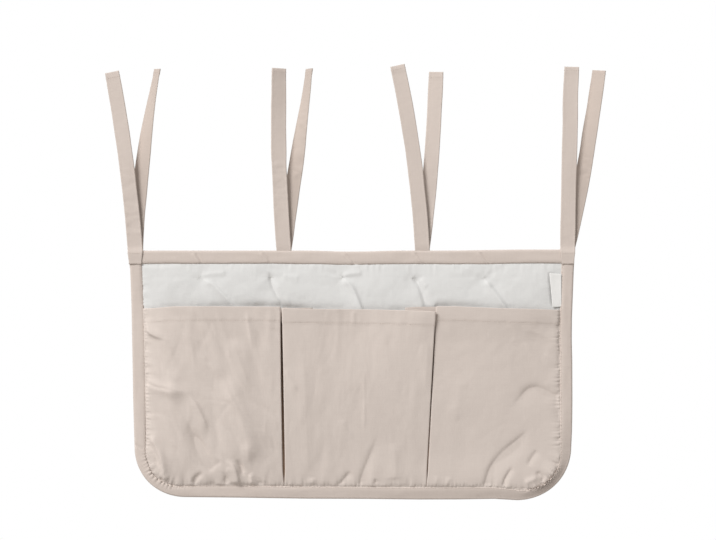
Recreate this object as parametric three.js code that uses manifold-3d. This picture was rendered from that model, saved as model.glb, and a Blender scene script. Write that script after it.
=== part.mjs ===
// Bedside caddy: a quilted panel that hangs from a bed rail by four pairs of ties, with three
// pleated pockets, bound edges and a folded label tab.
// Millimetres, +Z up, front towards -Y, origin at the middle of the top edge.
import * as THREE from "three";
import { mergeVertices } from "three/addons/utils/BufferGeometryUtils.js";
import Module from "manifold-3d";

const wasm = await Module();
wasm.setup();
const { lerp, clamp, degToRad, smoothstep } = THREE.MathUtils;

// Panel outline
const PANEL_TOP_WIDTH = 596;
const PANEL_BOTTOM_WIDTH = 577;
const PANEL_HEIGHT = 332;
const CORNER_RADIUS = 70;

// Cloth, tape and filling, and the clearance between layers that lie on each other
const CLOTH = 0.6;
const TAPE = 0.8;
const WADDING_EDGE = 1.1;
const CLEARANCE = 0.3;
const BINDING_WIDTH = 17;

// Quilting: the crown of the front face and the sewn tufts in it
const CROWN = 5.5;
const CROWN_RISE = 45;
const TUFT_PITCH_X = 95;
const TUFT_PITCH_Z = 75;
const FIRST_TUFT_X = -202;
const FIRST_TUFT_Z = -34;
const TUFT_RADIUS = 17;
const TUFT_DEPTH = 0.75;

// Pockets: depth of the mouth below the top edge, hem, stand-off from the panel and pleats
const POCKET_DROP = 76;
const HEM_DEPTH = 21;
const HEM_LAYERS = 3;
const HEM_STEP = 0.8;
const POCKET_CLEARANCE = 0.8;
const POCKET_SEAM_GAP = 0.6;
const POCKET_SIDE_RISE = 60;
const LEFT_GAPE = 9.5;
const MIDDLE_GAPE = 9.5;
const RIGHT_GAPE = 5.5;
const PLEAT_DEPTH = 40;
const PLEAT_LIFT = 28;
const UNDERLAY_CLEARANCE = 0.6;

// The two dividers: where each crosses the pockets' top and bottom edges, and its open slit
const LEFT_DIVIDER_TOP = -93;
const LEFT_DIVIDER_BOTTOM = -89.5;
const LEFT_SLIT = 4;
const RIGHT_DIVIDER_TOP = 112;
const RIGHT_DIVIDER_BOTTOM = 101;
const RIGHT_SLIT = 0.8;

// Ties
const TIE_WIDTH = 20;
const TIE_LENGTH = 244;
const TIE_THICKNESS = 1.6;
const TIE_OFFSET = 2;
const TIE_LEAN = 0.6;
const TIE_STEPS = 14;
const INNER_LEFT_TIE_X = -90;
const INNER_RIGHT_TIE_X = 94.5;
const TIE_ROOT_DEPTH = 12;

// Label: a folded tape, sewn at one edge
const LABEL_WIDTH = 15;
const LABEL_HEIGHT = 46;
const LABEL_TAPE = 0.4;
const LABEL_SLOT = 0.4;
const LABEL_SEAM = 3;
const LABEL_LEAN = 10;
const LABEL_ABOVE_POCKET = 1;

// Facets
const QUILT_COLUMNS = 26;
const QUILT_ROWS = 10;
const POCKET_COLUMNS = 12;
const POCKET_ROWS = 8;
const CORNER_ROWS = 5;
const BAND_COLUMNS = 3;
const CORNER_STEPS = 9;
const ARC_DIVISIONS = 4;

// The stack inside the binding, front to back: a free slot, front cloth, filling, rear cloth
const stack = 3 * CLOTH + WADDING_EDGE + 5 * CLEARANCE;
const bindingHalf = stack / 2 + TAPE;
const layerInset = bindingHalf + CLEARANCE;
const slotFront = -stack / 2 + CLEARANCE;
const quiltEdge = slotFront + CLOTH + CLEARANCE;
const fillingOffset = CLOTH + CLEARANCE;
const rearClothFront = stack / 2 - CLEARANCE - CLOTH;

// Outline: straight sides that lean in a little, joined to the bottom by round corners
const topHalf = PANEL_TOP_WIDTH / 2;
const sideLean = Math.atan2(PANEL_TOP_WIDTH - PANEL_BOTTOM_WIDTH, 2 * PANEL_HEIGHT);
const cornerZ = CORNER_RADIUS - PANEL_HEIGHT;
const cornerX = topHalf + cornerZ * Math.tan(sideLean) - CORNER_RADIUS / Math.cos(sideLean);

// Main folds of the hanging pocket cloth: a ridge from one point to another across the pocket.
// Places are shares of the panel's top width and height; the height is a share of the crown and
// the width a share of the panel's height.
const LEFT_FOLDS = [
  { from: [-0.238, -0.392], to: [-0.23, -0.858], height: 0.36, width: 0.039 },
  { from: [-0.433, -0.53], to: [-0.336, -0.62], height: 0.33, width: 0.033 },
];
const MIDDLE_FOLDS = [
  { from: [0.003, -0.892], to: [-0.013, -0.711], height: 0.29, width: 0.033 },
  { from: [-0.104, -0.898], to: [-0.084, -0.753], height: 0.25, width: 0.03 },
];
const RIGHT_FOLDS = [
  { from: [0.44, -0.645], to: [0.315, -0.873], height: 0.4, width: 0.036 },
  { from: [0.386, -0.542], to: [0.268, -0.789], height: 0.25, width: 0.036 },
];

// The strands of the four pairs of ties: each leans sideways to its tip and bows at mid length,
// both as shares of its length, and turns towards its edge by its twist in degrees
const TIE_STRANDS = [
  { front: { tip: -0.127, bow: 0.0143, twist: 8 }, rear: { tip: 0.119, bow: -0.0205, twist: 60 } },
  { front: { tip: -0.029, bow: -0.0102, twist: -7 }, rear: { tip: 0.139, bow: 0, twist: 62 } },
  { front: { tip: -0.135, bow: 0.0102, twist: 11 }, rear: { tip: 0.078, bow: 0.0102, twist: 10 } },
  { front: { tip: 0.02, bow: -0.002, twist: 4 }, rear: { tip: 0.176, bow: 0.0123, twist: 32 } },
];

// Dividers and pocket heights
const leftDivider = { top: LEFT_DIVIDER_TOP, bottom: LEFT_DIVIDER_BOTTOM, slit: LEFT_SLIT };
const rightDivider = { top: RIGHT_DIVIDER_TOP, bottom: RIGHT_DIVIDER_BOTTOM, slit: RIGHT_SLIT };
const pocketInset = BINDING_WIDTH + POCKET_SEAM_GAP;
const pocketTop = -POCKET_DROP;
const pocketBottom = pocketInset - PANEL_HEIGHT;
const hemLine = pocketTop - HEM_DEPTH;
const pleatBottom = pocketBottom + PLEAT_LIFT;

// Half the panel's width at a height, taken a distance inside its outer edge
function halfWidth(z, inset) {
  const radius = CORNER_RADIUS - inset;
  const below = cornerZ - z;
  if (below <= radius * Math.sin(sideLean)) {
    return topHalf + z * Math.tan(sideLean) - inset / Math.cos(sideLean);
  }
  return cornerX + Math.sqrt(Math.max(radius ** 2 - below ** 2, 0));
}

// Evenly spaced values from one end to the other, both ends included
function spaced(from, to, steps) {
  return Array.from({ length: steps + 1 }, (_, i) => lerp(from, to, i / steps));
}

// Heights down a layer from a start: even above the round corners, closer together round them
function heightsDown(start, inset, straightSteps) {
  const quarter = spaced(0, Math.PI / 2, CORNER_ROWS).slice(1);
  const round = quarter.map((angle) => cornerZ - (CORNER_RADIUS - inset) * Math.sin(angle));
  return [...spaced(start, cornerZ, straightSteps), ...round];
}

// Turns an indexed mesh inside out where its faces point inwards
function facingOut(geometry) {
  const { array } = geometry.attributes.position;
  const index = geometry.index.array;
  const point = (i) => new THREE.Vector3().fromArray(array, 3 * index[i]);
  let volume = 0;
  for (let i = 0; i < index.length; i += 3) {
    volume += point(i).dot(point(i + 1).cross(point(i + 2)));
  }
  if (volume < 0) {
    index.reverse();
  }
  geometry.computeVertexNormals();
  return geometry;
}

function indexedGeometry(positions, triangles) {
  const geometry = new THREE.BufferGeometry();
  geometry.setAttribute("position", new THREE.Float32BufferAttribute(positions, 3));
  geometry.setIndex(triangles);
  return facingOut(geometry);
}

// A closed sheet of cloth: rows of points from top to bottom, with a front and a back surface
function sheet(rows, front, back) {
  const columns = rows[0].xs.length;
  const positions = [];
  for (const surface of [front, back]) {
    for (const { z, xs } of rows) {
      xs.forEach((x, column) => positions.push(x, surface(x, z, column / (columns - 1)), z));
    }
  }
  const at = (side, row, column) => (side * rows.length + row) * columns + column;
  const triangles = [];
  const quad = (a, b, c, d) => triangles.push(a, b, c, a, c, d);
  for (let row = 0; row + 1 < rows.length; row++) {
    for (let column = 0; column + 1 < columns; column++) {
      for (const side of [0, 1]) {
        const [a, b] = [at(side, row, column), at(side, row + 1, column)];
        const [c, d] = [b + 1, a + 1];
        quad(a, side ? d : b, c, side ? b : d);
      }
    }
  }
  const down = rows.map((_, row) => [row, 0]);
  const across = rows[0].xs.map((_, column) => [rows.length - 1, column]);
  const up = rows.map((_, row) => [rows.length - 1 - row, columns - 1]);
  const home = rows[0].xs.map((_, column) => [0, columns - 1 - column]);
  for (const edge of [down, across, up, home]) {
    for (let i = 0; i + 1 < edge.length; i++) {
      const [p, q] = [edge[i], edge[i + 1]];
      quad(at(0, ...q), at(0, ...p), at(1, ...p), at(1, ...q));
    }
  }
  return indexedGeometry(positions, triangles);
}

// A closed solid through a list of rings with equal numbers of points; caps are triangle lists
function loft(rings, caps) {
  const count = rings[0].length;
  const triangles = [];
  for (let ring = 0; ring + 1 < rings.length; ring++) {
    for (let i = 0; i < count; i++) {
      const [a, b] = [ring * count + i, ring * count + ((i + 1) % count)];
      triangles.push(a, b, b + count, a, b + count, a + count);
    }
  }
  const last = (rings.length - 1) * count;
  for (const [a, b, c] of caps) {
    triangles.push(a, c, b, last + a, last + b, last + c);
  }
  return indexedGeometry(
    rings.flat().flatMap((point) => point.toArray()),
    triangles,
  );
}

// Boolean helpers
function toSolid(geometry) {
  const bare = geometry.clone();
  bare.deleteAttribute("normal");
  bare.deleteAttribute("uv");
  const merged = mergeVertices(bare);
  const vertProperties = new Float32Array(merged.attributes.position.array);
  const triVerts = new Uint32Array(merged.index.array);
  return new wasm.Manifold(new wasm.Mesh({ numProp: 3, vertProperties, triVerts }));
}

function fromSolid(solid) {
  const mesh = solid.getMesh();
  return indexedGeometry(Array.from(mesh.vertProperties), Array.from(mesh.triVerts));
}

// Quilt form
const crownRise = (distance) => 1 - (1 - clamp(distance / CROWN_RISE, 0, 1)) ** 2;

// Front face of the quilted cloth without its tufts: flat in the binding, crowned inside it
function quiltEnvelope(x, z) {
  const side = crownRise(halfWidth(z, BINDING_WIDTH) - Math.abs(x));
  const top = crownRise(-BINDING_WIDTH - z);
  const bottom = crownRise(z + PANEL_HEIGHT - BINDING_WIDTH);
  return quiltEdge - CROWN * side * top * bottom;
}

// How far the nearest tuft of the staggered rows draws the crown in, from 0 to TUFT_DEPTH
function tuftPull(x, z) {
  const row = Math.round((FIRST_TUFT_Z - z) / TUFT_PITCH_Z);
  const shift = FIRST_TUFT_X + (row % 2 ? TUFT_PITCH_X / 2 : 0);
  const across = x - shift - TUFT_PITCH_X * Math.round((x - shift) / TUFT_PITCH_X);
  const along = z - FIRST_TUFT_Z + TUFT_PITCH_Z * row;
  return TUFT_DEPTH * Math.exp(-((across ** 2 + along ** 2) / TUFT_RADIUS ** 2));
}

const quiltFace = (x, z) => lerp(quiltEnvelope(x, z), quiltEdge, tuftPull(x, z));

// Points of the panel layers, with lines of points along the inner edge of the binding
function panelRows() {
  const bottom = layerInset - PANEL_HEIGHT;
  const hidden = spaced(BINDING_WIDTH - PANEL_HEIGHT, bottom, 3).slice(1);
  const heights = [-layerInset, ...heightsDown(-BINDING_WIDTH, BINDING_WIDTH, QUILT_ROWS), ...hidden];
  return heights.map((z) => {
    const outer = halfWidth(z, layerInset);
    const inner = Math.min(halfWidth(z, BINDING_WIDTH), outer - BINDING_WIDTH + layerInset);
    return { z, xs: [-outer, ...spaced(-inner, inner, QUILT_COLUMNS), outer] };
  });
}

function quiltedFront() {
  return sheet(panelRows(), quiltFace, (x, z) => quiltFace(x, z) + CLOTH);
}

function wadding() {
  const rear = rearClothFront - CLEARANCE;
  return sheet(panelRows(), (x, z) => quiltFace(x, z) + fillingOffset, () => rear);
}

function rearCloth() {
  const outline = new THREE.Shape();
  const radius = CORNER_RADIUS - layerInset;
  const top = halfWidth(-layerInset, layerInset);
  outline.moveTo(top, -layerInset);
  outline.lineTo(-top, -layerInset);
  outline.absarc(-cornerX, cornerZ, radius, Math.PI + sideLean, 1.5 * Math.PI, false);
  outline.absarc(cornerX, cornerZ, radius, -Math.PI / 2, -sideLean, false);
  const options = { depth: CLOTH, bevelEnabled: false, curveSegments: CORNER_STEPS };
  const geometry = new THREE.ExtrudeGeometry(outline, options);
  geometry.rotateX(Math.PI / 2);
  geometry.translate(0, rearClothFront + CLOTH, 0);
  return geometry;
}

// Binding: a tape folded over the edge, as a profile of (distance inside the edge, y)
function bindingProfile() {
  const inside = bindingHalf - TAPE;
  const profile = new THREE.Shape();
  profile.moveTo(BINDING_WIDTH, bindingHalf);
  profile.lineTo(bindingHalf, bindingHalf);
  profile.absarc(bindingHalf, 0, bindingHalf, Math.PI / 2, 1.5 * Math.PI, false);
  profile.lineTo(BINDING_WIDTH, -bindingHalf);
  profile.lineTo(BINDING_WIDTH, -inside);
  profile.absarc(bindingHalf, 0, inside, -Math.PI / 2, -1.5 * Math.PI, true);
  profile.lineTo(BINDING_WIDTH, inside);
  const points = profile.getPoints(ARC_DIVISIONS);
  return points.filter((point, i) => i === 0 || point.distanceTo(points[i - 1]) > 1e-6);
}

// Sweeps the profile along stations, each an edge point and the direction into the panel
function bindEdge(stations) {
  const profile = bindingProfile();
  const rings = stations.map(({ x, z, inward }) =>
    profile.map(({ x: depth, y }) => {
      const reach = new THREE.Vector3(Math.cos(inward), 0, Math.sin(inward)).multiplyScalar(depth);
      return reach.add(new THREE.Vector3(x, y, z));
    }),
  );
  return loft(rings, THREE.ShapeUtils.triangulateShape(profile, []));
}

function topBinding() {
  const half = halfWidth(-BINDING_WIDTH, BINDING_WIDTH) - CLEARANCE;
  return bindEdge([-half, half].map((x) => ({ x, z: 0, inward: -Math.PI / 2 })));
}

// The side binding runs past the top edge and is then cut to the round of the top edge
function sideBinding() {
  const over = 2 * bindingHalf;
  const side = (sign) => ({
    x: sign * (topHalf + over * Math.tan(sideLean)),
    z: over,
    inward: sign < 0 ? sideLean : Math.PI - sideLean,
  });
  const round = (centreX, from, to) =>
    spaced(from, to, CORNER_STEPS).map((angle) => ({
      x: centreX + CORNER_RADIUS * Math.cos(angle),
      z: cornerZ + CORNER_RADIUS * Math.sin(angle),
      inward: angle + Math.PI,
    }));
  const left = round(-cornerX, Math.PI + sideLean, 1.5 * Math.PI);
  const right = round(cornerX, 1.5 * Math.PI, 2 * Math.PI - sideLean);
  const tape = bindEdge([side(-1), ...left, ...right, side(1)]);
  return fromSolid(toSolid(tape).intersect(toSolid(topRounding())));
}

// Everything under a top edge rounded to the fold of the binding
function topRounding() {
  const reach = 2 * bindingHalf;
  const section = new THREE.Shape();
  section.moveTo(reach, -PANEL_HEIGHT - reach);
  section.lineTo(reach, -bindingHalf);
  section.lineTo(bindingHalf, -bindingHalf);
  section.absarc(0, -bindingHalf, bindingHalf, 0, Math.PI, false);
  section.lineTo(-reach, -bindingHalf);
  section.lineTo(-reach, -PANEL_HEIGHT - reach);
  const depth = PANEL_TOP_WIDTH + 2 * reach;
  const options = { depth, bevelEnabled: false, curveSegments: 4 * ARC_DIVISIONS };
  const geometry = new THREE.ExtrudeGeometry(section, options);
  geometry.rotateX(Math.PI / 2);
  geometry.rotateZ(Math.PI / 2);
  geometry.translate(-depth / 2, 0, 0);
  return geometry;
}

// Pocket form
const pocketLayers = (z) => (z > hemLine ? HEM_LAYERS : 1) * CLOTH;

function dividerX({ top, bottom }, z) {
  return lerp(bottom, top, (z - pocketBottom) / (pocketTop - pocketBottom));
}

const foldLeft = (divider) => (z) => dividerX(divider, z) - divider.slit / 2;
const foldRight = (divider) => (z) => dividerX(divider, z) + divider.slit / 2;

// Height of the cloth's main folds at a point: a soft ridge that fades at its ends
function foldHeight(folds, x, z) {
  const place = ([across, down]) => new THREE.Vector2(across * PANEL_TOP_WIDTH, down * PANEL_HEIGHT);
  let height = 0;
  for (const fold of folds) {
    const from = place(fold.from);
    const along = place(fold.to).sub(from);
    const point = new THREE.Vector2(x, z).sub(from);
    const share = clamp(point.dot(along) / along.lengthSq(), 0, 1);
    const distance = point.sub(along.multiplyScalar(share)).length();
    height += fold.height * CROWN * Math.exp(-((distance / (fold.width * PANEL_HEIGHT)) ** 2));
  }
  return height;
}

const pockets = {
  left_pocket: {
    left: (z) => -halfWidth(z, pocketInset),
    right: foldLeft(leftDivider),
    sewn: (x, z) => x + halfWidth(z, pocketInset),
    gape: LEFT_GAPE,
    folds: LEFT_FOLDS,
  },
  middle_pocket: {
    left: foldRight(leftDivider),
    right: foldLeft(rightDivider),
    sewn: () => POCKET_SIDE_RISE,
    gape: MIDDLE_GAPE,
    folds: MIDDLE_FOLDS,
  },
  right_pocket: {
    left: foldRight(rightDivider),
    right: (z) => halfWidth(z, pocketInset),
    sewn: (x, z) => halfWidth(z, pocketInset) - x,
    gape: RIGHT_GAPE,
    folds: RIGHT_FOLDS,
  },
};

// Outer face of a pocket: it bellies out from its bottom seam and from its sewn side
function pocketFace(pocket, x, z) {
  const up = clamp((z - pocketBottom) / (pocketTop - pocketBottom), 0, 1);
  const across = clamp(pocket.sewn(x, z) / POCKET_SIDE_RISE, 0, 1);
  const belly = (1 - (1 - up) ** 3) * (1 - (1 - across) ** 3);
  const lift = (pocket.gape + foldHeight(pocket.folds, x, z)) * belly;
  return quiltEnvelope(x, z) - POCKET_CLEARANCE - pocketLayers(z) - lift;
}

const pocketBack = (pocket, x, z) => pocketFace(pocket, x, z) + pocketLayers(z);

const pocketHeights = [
  pocketTop,
  hemLine + HEM_STEP / 2,
  ...heightsDown(hemLine - HEM_STEP / 2, pocketInset, POCKET_ROWS),
];
const pleatHeights = [...pocketHeights.filter((z) => z > pleatBottom), pleatBottom];

function pocketFront(pocket) {
  const rows = pocketHeights.map((z) => ({
    z,
    xs: spaced(pocket.left(z), pocket.right(z), POCKET_COLUMNS),
  }));
  return sheet(rows, (x, z) => pocketFace(pocket, x, z), (x, z) => pocketBack(pocket, x, z));
}

// Inverted pleat: the cloth folds back behind a pocket's edge to the underlay's edge
const underlayFace = (x, z) => quiltEnvelope(x, z) - UNDERLAY_CLEARANCE - CLOTH;

function pleatReturn(pocket, fold, inward) {
  const rows = pleatHeights.map((z) => ({
    z,
    xs: spaced(fold(z) + inward * PLEAT_DEPTH, fold(z), BAND_COLUMNS),
  }));
  const face = (x, z, share) => {
    const hidden = underlayFace(fold(z) + inward * PLEAT_DEPTH, z) - CLEARANCE - CLOTH;
    return lerp(hidden, pocketBack(pocket, fold(z), z) + CLEARANCE, share);
  };
  return sheet(rows, face, (x, z, share) => face(x, z, share) + CLOTH);
}

function dividerUnderlay(divider) {
  const rows = pleatHeights.map((z) => ({
    z,
    xs: spaced(
      foldLeft(divider)(z) - PLEAT_DEPTH,
      foldRight(divider)(z) + PLEAT_DEPTH,
      2 * BAND_COLUMNS,
    ),
  }));
  return sheet(rows, underlayFace, (x, z) => underlayFace(x, z) + CLOTH);
}

// Ties: flat tapes with a round lower end, which turns about the tie's axis over the binding
const tieReach = bindingHalf + TIE_THICKNESS / 2 + CLEARANCE;
const tieAxisZ = Math.sqrt(tieReach ** 2 - TIE_OFFSET ** 2) - bindingHalf;

function tieStrand({ tip, bow, twist }) {
  const rise = Math.sqrt(1 - tip ** 2);
  const ring = (share, drop, half) => {
    const slope = Math.atan2(tip + 4 * bow * (1 - 2 * share), rise);
    const tilt = slope * smoothstep(share, 0, 0.2);
    const turn = degToRad(twist) * smoothstep(share, 0.25, 1);
    const sideways = tip * share + 4 * bow * share * (1 - share);
    const centre = new THREE.Vector3(sideways, 0, rise * share).multiplyScalar(TIE_LENGTH);
    centre.z -= drop;
    const flat = new THREE.Vector3(Math.cos(tilt), 0, -Math.sin(tilt));
    const along = new THREE.Vector3(Math.sin(tilt), 0, Math.cos(tilt));
    const side = flat.clone().applyAxisAngle(along, -turn);
    const face = side.clone().cross(along);
    return [[-1, -1], [1, -1], [1, 1], [-1, 1]].map(([across, through]) =>
      centre
        .clone()
        .addScaledVector(side, (across * TIE_WIDTH) / 2)
        .addScaledVector(face, through * half),
    );
  };
  const radius = TIE_THICKNESS / 2;
  const round = [80, 55, 28].map(degToRad);
  const end = round.map((angle) => ring(0, radius * Math.sin(angle), radius * Math.cos(angle)));
  const body = spaced(0, 1, TIE_STEPS).map((share) => ring(share, 0, radius));
  return loft([...end, ...body], [[0, 1, 2], [0, 2, 3]]);
}

function tieRoot() {
  return new THREE.BoxGeometry(TIE_WIDTH, CLOTH, TIE_ROOT_DEPTH);
}

// Label: a loop of tape seen from above, its round sewn edge at the origin, free edge to the left
function labelTab() {
  const half = LABEL_TAPE + LABEL_SLOT / 2;
  const free = half - LABEL_WIDTH;
  const loop = new THREE.Shape();
  loop.absarc(0, 0, half, -Math.PI / 2, Math.PI / 2, false);
  loop.absarc(free + half, 0, half, Math.PI / 2, 1.5 * Math.PI, false);
  const slot = new THREE.Path();
  slot.moveTo(-LABEL_SEAM, -LABEL_SLOT / 2);
  slot.lineTo(-LABEL_SEAM, LABEL_SLOT / 2);
  slot.absarc(free + half, 0, LABEL_SLOT / 2, Math.PI / 2, 1.5 * Math.PI, false);
  loop.holes.push(slot);
  const options = { depth: LABEL_HEIGHT, bevelEnabled: false, curveSegments: 2 * ARC_DIVISIONS };
  return new THREE.ExtrudeGeometry(loop, options);
}

// Finishes
const finish = (color, roughness) => new THREE.MeshStandardMaterial({ color, roughness, metalness: 0 });
const sandCotton = finish("#d3c6bc", 0.9);
const whiteCotton = finish("#e3e2df", 0.88);
const filling = finish("#f1efea", 1);
const labelTape = finish("#efedea", 0.75);

const caddy = new THREE.Group();

function addPiece(name, geometry, material) {
  const mesh = new THREE.Mesh(geometry, material);
  mesh.name = name;
  caddy.add(mesh);
  return mesh;
}

addPiece("rear_cloth", rearCloth(), whiteCotton);
addPiece("wadding", wadding(), filling);
addPiece("quilted_front", quiltedFront(), whiteCotton);
addPiece("top_binding", topBinding(), sandCotton);
addPiece("side_binding", sideBinding(), sandCotton);

for (const [name, pocket] of Object.entries(pockets)) {
  addPiece(name, pocketFront(pocket), sandCotton);
}

const { left_pocket: left, middle_pocket: middle, right_pocket: right } = pockets;
addPiece("left_pocket_pleat", pleatReturn(left, left.right, -1), sandCotton);
addPiece("middle_pocket_left_pleat", pleatReturn(middle, middle.left, 1), sandCotton);
addPiece("middle_pocket_right_pleat", pleatReturn(middle, middle.right, -1), sandCotton);
addPiece("right_pocket_pleat", pleatReturn(right, right.left, 1), sandCotton);
addPiece("left_divider_underlay", dividerUnderlay(leftDivider), sandCotton);
addPiece("right_divider_underlay", dividerUnderlay(rightDivider), sandCotton);

// Four pairs from left to right; the outer pairs line up with the side bindings
const outerTieX = topHalf - TIE_WIDTH / 2;
const outerRootX = topHalf - layerInset - TIE_WIDTH / 2;
const tiePlaces = [
  { x: -outerTieX, rootX: -outerRootX },
  { x: INNER_LEFT_TIE_X, rootX: INNER_LEFT_TIE_X },
  { x: INNER_RIGHT_TIE_X, rootX: INNER_RIGHT_TIE_X },
  { x: outerTieX, rootX: outerRootX },
];
tiePlaces.forEach(({ x, rootX }, pair) => {
  const { front, rear } = TIE_STRANDS[pair];
  for (const [place, strand, sign] of [["front", front, -1], ["rear", rear, 1]]) {
    const tie = addPiece(`tie_${pair + 1}_${place}`, tieStrand(strand), sandCotton);
    tie.position.set(x, sign * TIE_OFFSET, tieAxisZ);
    tie.rotation.x = -sign * degToRad(TIE_LEAN);
  }
  const root = addPiece(`tie_${pair + 1}_root`, tieRoot(), sandCotton);
  root.position.set(rootX, slotFront + CLOTH / 2, -layerInset - TIE_ROOT_DEPTH / 2);
});

const label = addPiece("label", labelTab(), labelTape);
const labelHalf = LABEL_TAPE + LABEL_SLOT / 2;
const labelBottom = pocketTop + LABEL_ABOVE_POCKET;
const labelEnds = [labelBottom, labelBottom + LABEL_HEIGHT];
const bindingInside = Math.min(...labelEnds.map((z) => halfWidth(z, BINDING_WIDTH)));
const labelX = bindingInside - CLEARANCE - labelHalf;
label.position.set(labelX, TAPE / 2 - bindingHalf, labelBottom);
label.rotation.z = degToRad(LABEL_LEAN);

export default caddy;
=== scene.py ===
import math

import bpy
import numpy as np
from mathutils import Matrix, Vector
from mathutils.bvhtree import BVHTree


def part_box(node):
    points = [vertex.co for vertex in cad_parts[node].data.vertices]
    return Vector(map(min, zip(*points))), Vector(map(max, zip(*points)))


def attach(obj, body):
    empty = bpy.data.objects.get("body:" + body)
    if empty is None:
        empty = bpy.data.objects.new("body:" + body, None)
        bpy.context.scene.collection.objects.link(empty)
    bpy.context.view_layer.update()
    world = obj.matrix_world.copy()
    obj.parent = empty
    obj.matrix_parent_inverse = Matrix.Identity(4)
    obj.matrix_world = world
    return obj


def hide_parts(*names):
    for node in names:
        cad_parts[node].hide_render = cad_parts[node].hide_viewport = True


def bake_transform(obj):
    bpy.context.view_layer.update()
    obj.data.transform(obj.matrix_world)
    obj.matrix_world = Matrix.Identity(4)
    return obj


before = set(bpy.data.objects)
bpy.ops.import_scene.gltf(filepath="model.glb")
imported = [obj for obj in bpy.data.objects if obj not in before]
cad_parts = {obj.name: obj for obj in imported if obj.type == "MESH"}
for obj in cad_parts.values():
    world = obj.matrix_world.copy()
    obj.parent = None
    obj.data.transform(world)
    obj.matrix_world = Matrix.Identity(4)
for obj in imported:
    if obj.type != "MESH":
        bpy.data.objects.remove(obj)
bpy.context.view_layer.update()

# Sizes in millimetres: X to the right, the front towards -Y, Z up, the origin in the middle of the top edge
MM = 0.001
side_low, side_high = (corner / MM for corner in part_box("side_binding"))
pocket_low, pocket_high = (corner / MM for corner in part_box("middle_pocket"))
TOP_HALF = side_high.x
BOTTOM_HALF = 288.5
PANEL_HEIGHT = -side_low.z
CORNER_RADIUS = 70
BINDING_WIDTH = 17
BINDING_HALF = side_high.y
BINDING_TAPE = 0.8
SEAM_PITCH = 4.6
SIDE_SEAM = 41
TOP_SEAM = 51
POCKET_TOP = pocket_high.z
POCKET_BOTTOM = pocket_low.z
HEM_DEPTH = 20
HEM_SEAM = HEM_DEPTH - 1.6
CLOTH = 0.6
HEM = 1.4
TUCK = 11

LEAN = math.atan2(TOP_HALF - BOTTOM_HALF, PANEL_HEIGHT)
CORNER_Z = CORNER_RADIUS - PANEL_HEIGHT
CORNER_X = TOP_HALF + CORNER_Z * math.tan(LEAN) - CORNER_RADIUS / math.cos(LEAN)
SIDE_RUN = -CORNER_Z / math.cos(LEAN)
CORNER_RUN = CORNER_RADIUS * (math.pi / 2 - LEAN)
HALF_RUN = SIDE_RUN + CORNER_RUN + CORNER_X


# Numbers over a surface


def ease(low, high, value):
    """A smooth step from 0 at low to 1 at high."""
    share = np.clip((np.asarray(value, float) - low) / (high - low), 0, 1)
    return share * share * (3 - 2 * share)


def ripple(x, y, seed):
    """Smooth random heights from -1 to 1, with features about one unit across."""

    def knot(i, j):
        mixed = np.sin(127.1 * i + 311.7 * j + 74.7 * seed) * 43758.5453
        return 2 * (mixed - np.floor(mixed)) - 1

    x, y = np.broadcast_arrays(np.asarray(x, float), np.asarray(y, float))
    i, j = np.floor(x), np.floor(y)
    u, v = (t * t * t * (t * (6 * t - 15) + 10) for t in (x - i, y - j))
    low = knot(i, j) * (1 - u) + knot(i + 1, j) * u
    high = knot(i, j + 1) * (1 - u) + knot(i + 1, j + 1) * u
    return low * (1 - v) + high * v


def sway(run, seed):
    """Smooth random heights along a line."""
    return ripple(run, 0.5, seed)


def bell(distance, width, power=2):
    """1 at no distance, falling to nothing over about a width."""
    return np.exp(-((distance / width) ** power))


def swelling(distance, reach):
    """0 at an edge, rising towards 1 over about a reach."""
    return 1 - np.exp(-distance / reach)


def rounded_line(points):
    """A line of points with its corners cut twice, so that a fold along it bends softly."""
    points = np.asarray(points, float)
    for _ in range(2):
        early = 0.75 * points[:-1] + 0.25 * points[1:]
        late = 0.25 * points[:-1] + 0.75 * points[1:]
        cut = np.stack([early, late], 1).reshape(-1, 2)
        points = np.concatenate([points[:1], cut[1:-1], points[-1:]])
    return points


def fold(x, z, line, height, left, right, start, end):
    """A ridge along a line, or a crease where height is negative, with its own width on each side.

    Its steep side starts from a sharp crest, and each end fades over a share of the line."""
    nearest = np.full(x.shape, 1e9)
    side = np.zeros(x.shape)
    share = np.zeros(x.shape)
    points = rounded_line(line)
    lengths = np.hypot(*np.diff(points, axis=0).T)
    run = 0.0
    for (x0, z0), (x1, z1), length in zip(points[:-1], points[1:], lengths):
        dx, dz = (x1 - x0) / length, (z1 - z0) / length
        along = np.clip((x - x0) * dx + (z - z0) * dz, 0, length)
        off_x, off_z = x - x0 - along * dx, z - z0 - along * dz
        distance = np.hypot(off_x, off_z)
        closer = distance < nearest
        nearest = np.where(closer, distance, nearest)
        side = np.where(closer, dx * off_z - dz * off_x, side)
        share = np.where(closer, (run + along) / lengths.sum(), share)
        run += length
    width = np.where(side > 0, left, right)
    power = np.where(width < max(left, right), 1.25, 1.8)
    fade = np.ones(x.shape)
    if start:
        fade = fade * ease(0, start, share)
    if end:
        fade = fade * ease(0, end, 1 - share)
    return height * fade * bell(nearest, width, power)


def stitch_wave(run, seed):
    """From 0 at a stitch of a binding's seam to 1 between two stitches."""
    return 0.5 + 0.5 * np.sin(2 * math.pi * run / SEAM_PITCH + 2 * sway(run / 30, seed))


def gathers(run, distance, pitch, depth, reach, seed):
    """Small puckers that start at a seam, each with its own strength and length."""
    wave = 0.65 * sway(run / pitch, seed) + 0.35 * sway(2.3 * run / pitch, seed + 1)
    length = reach * (1 + 0.6 * sway(run / (3 * pitch), seed + 2))
    return depth * wave * bell(np.maximum(distance, 0), length, 1.5)


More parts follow.
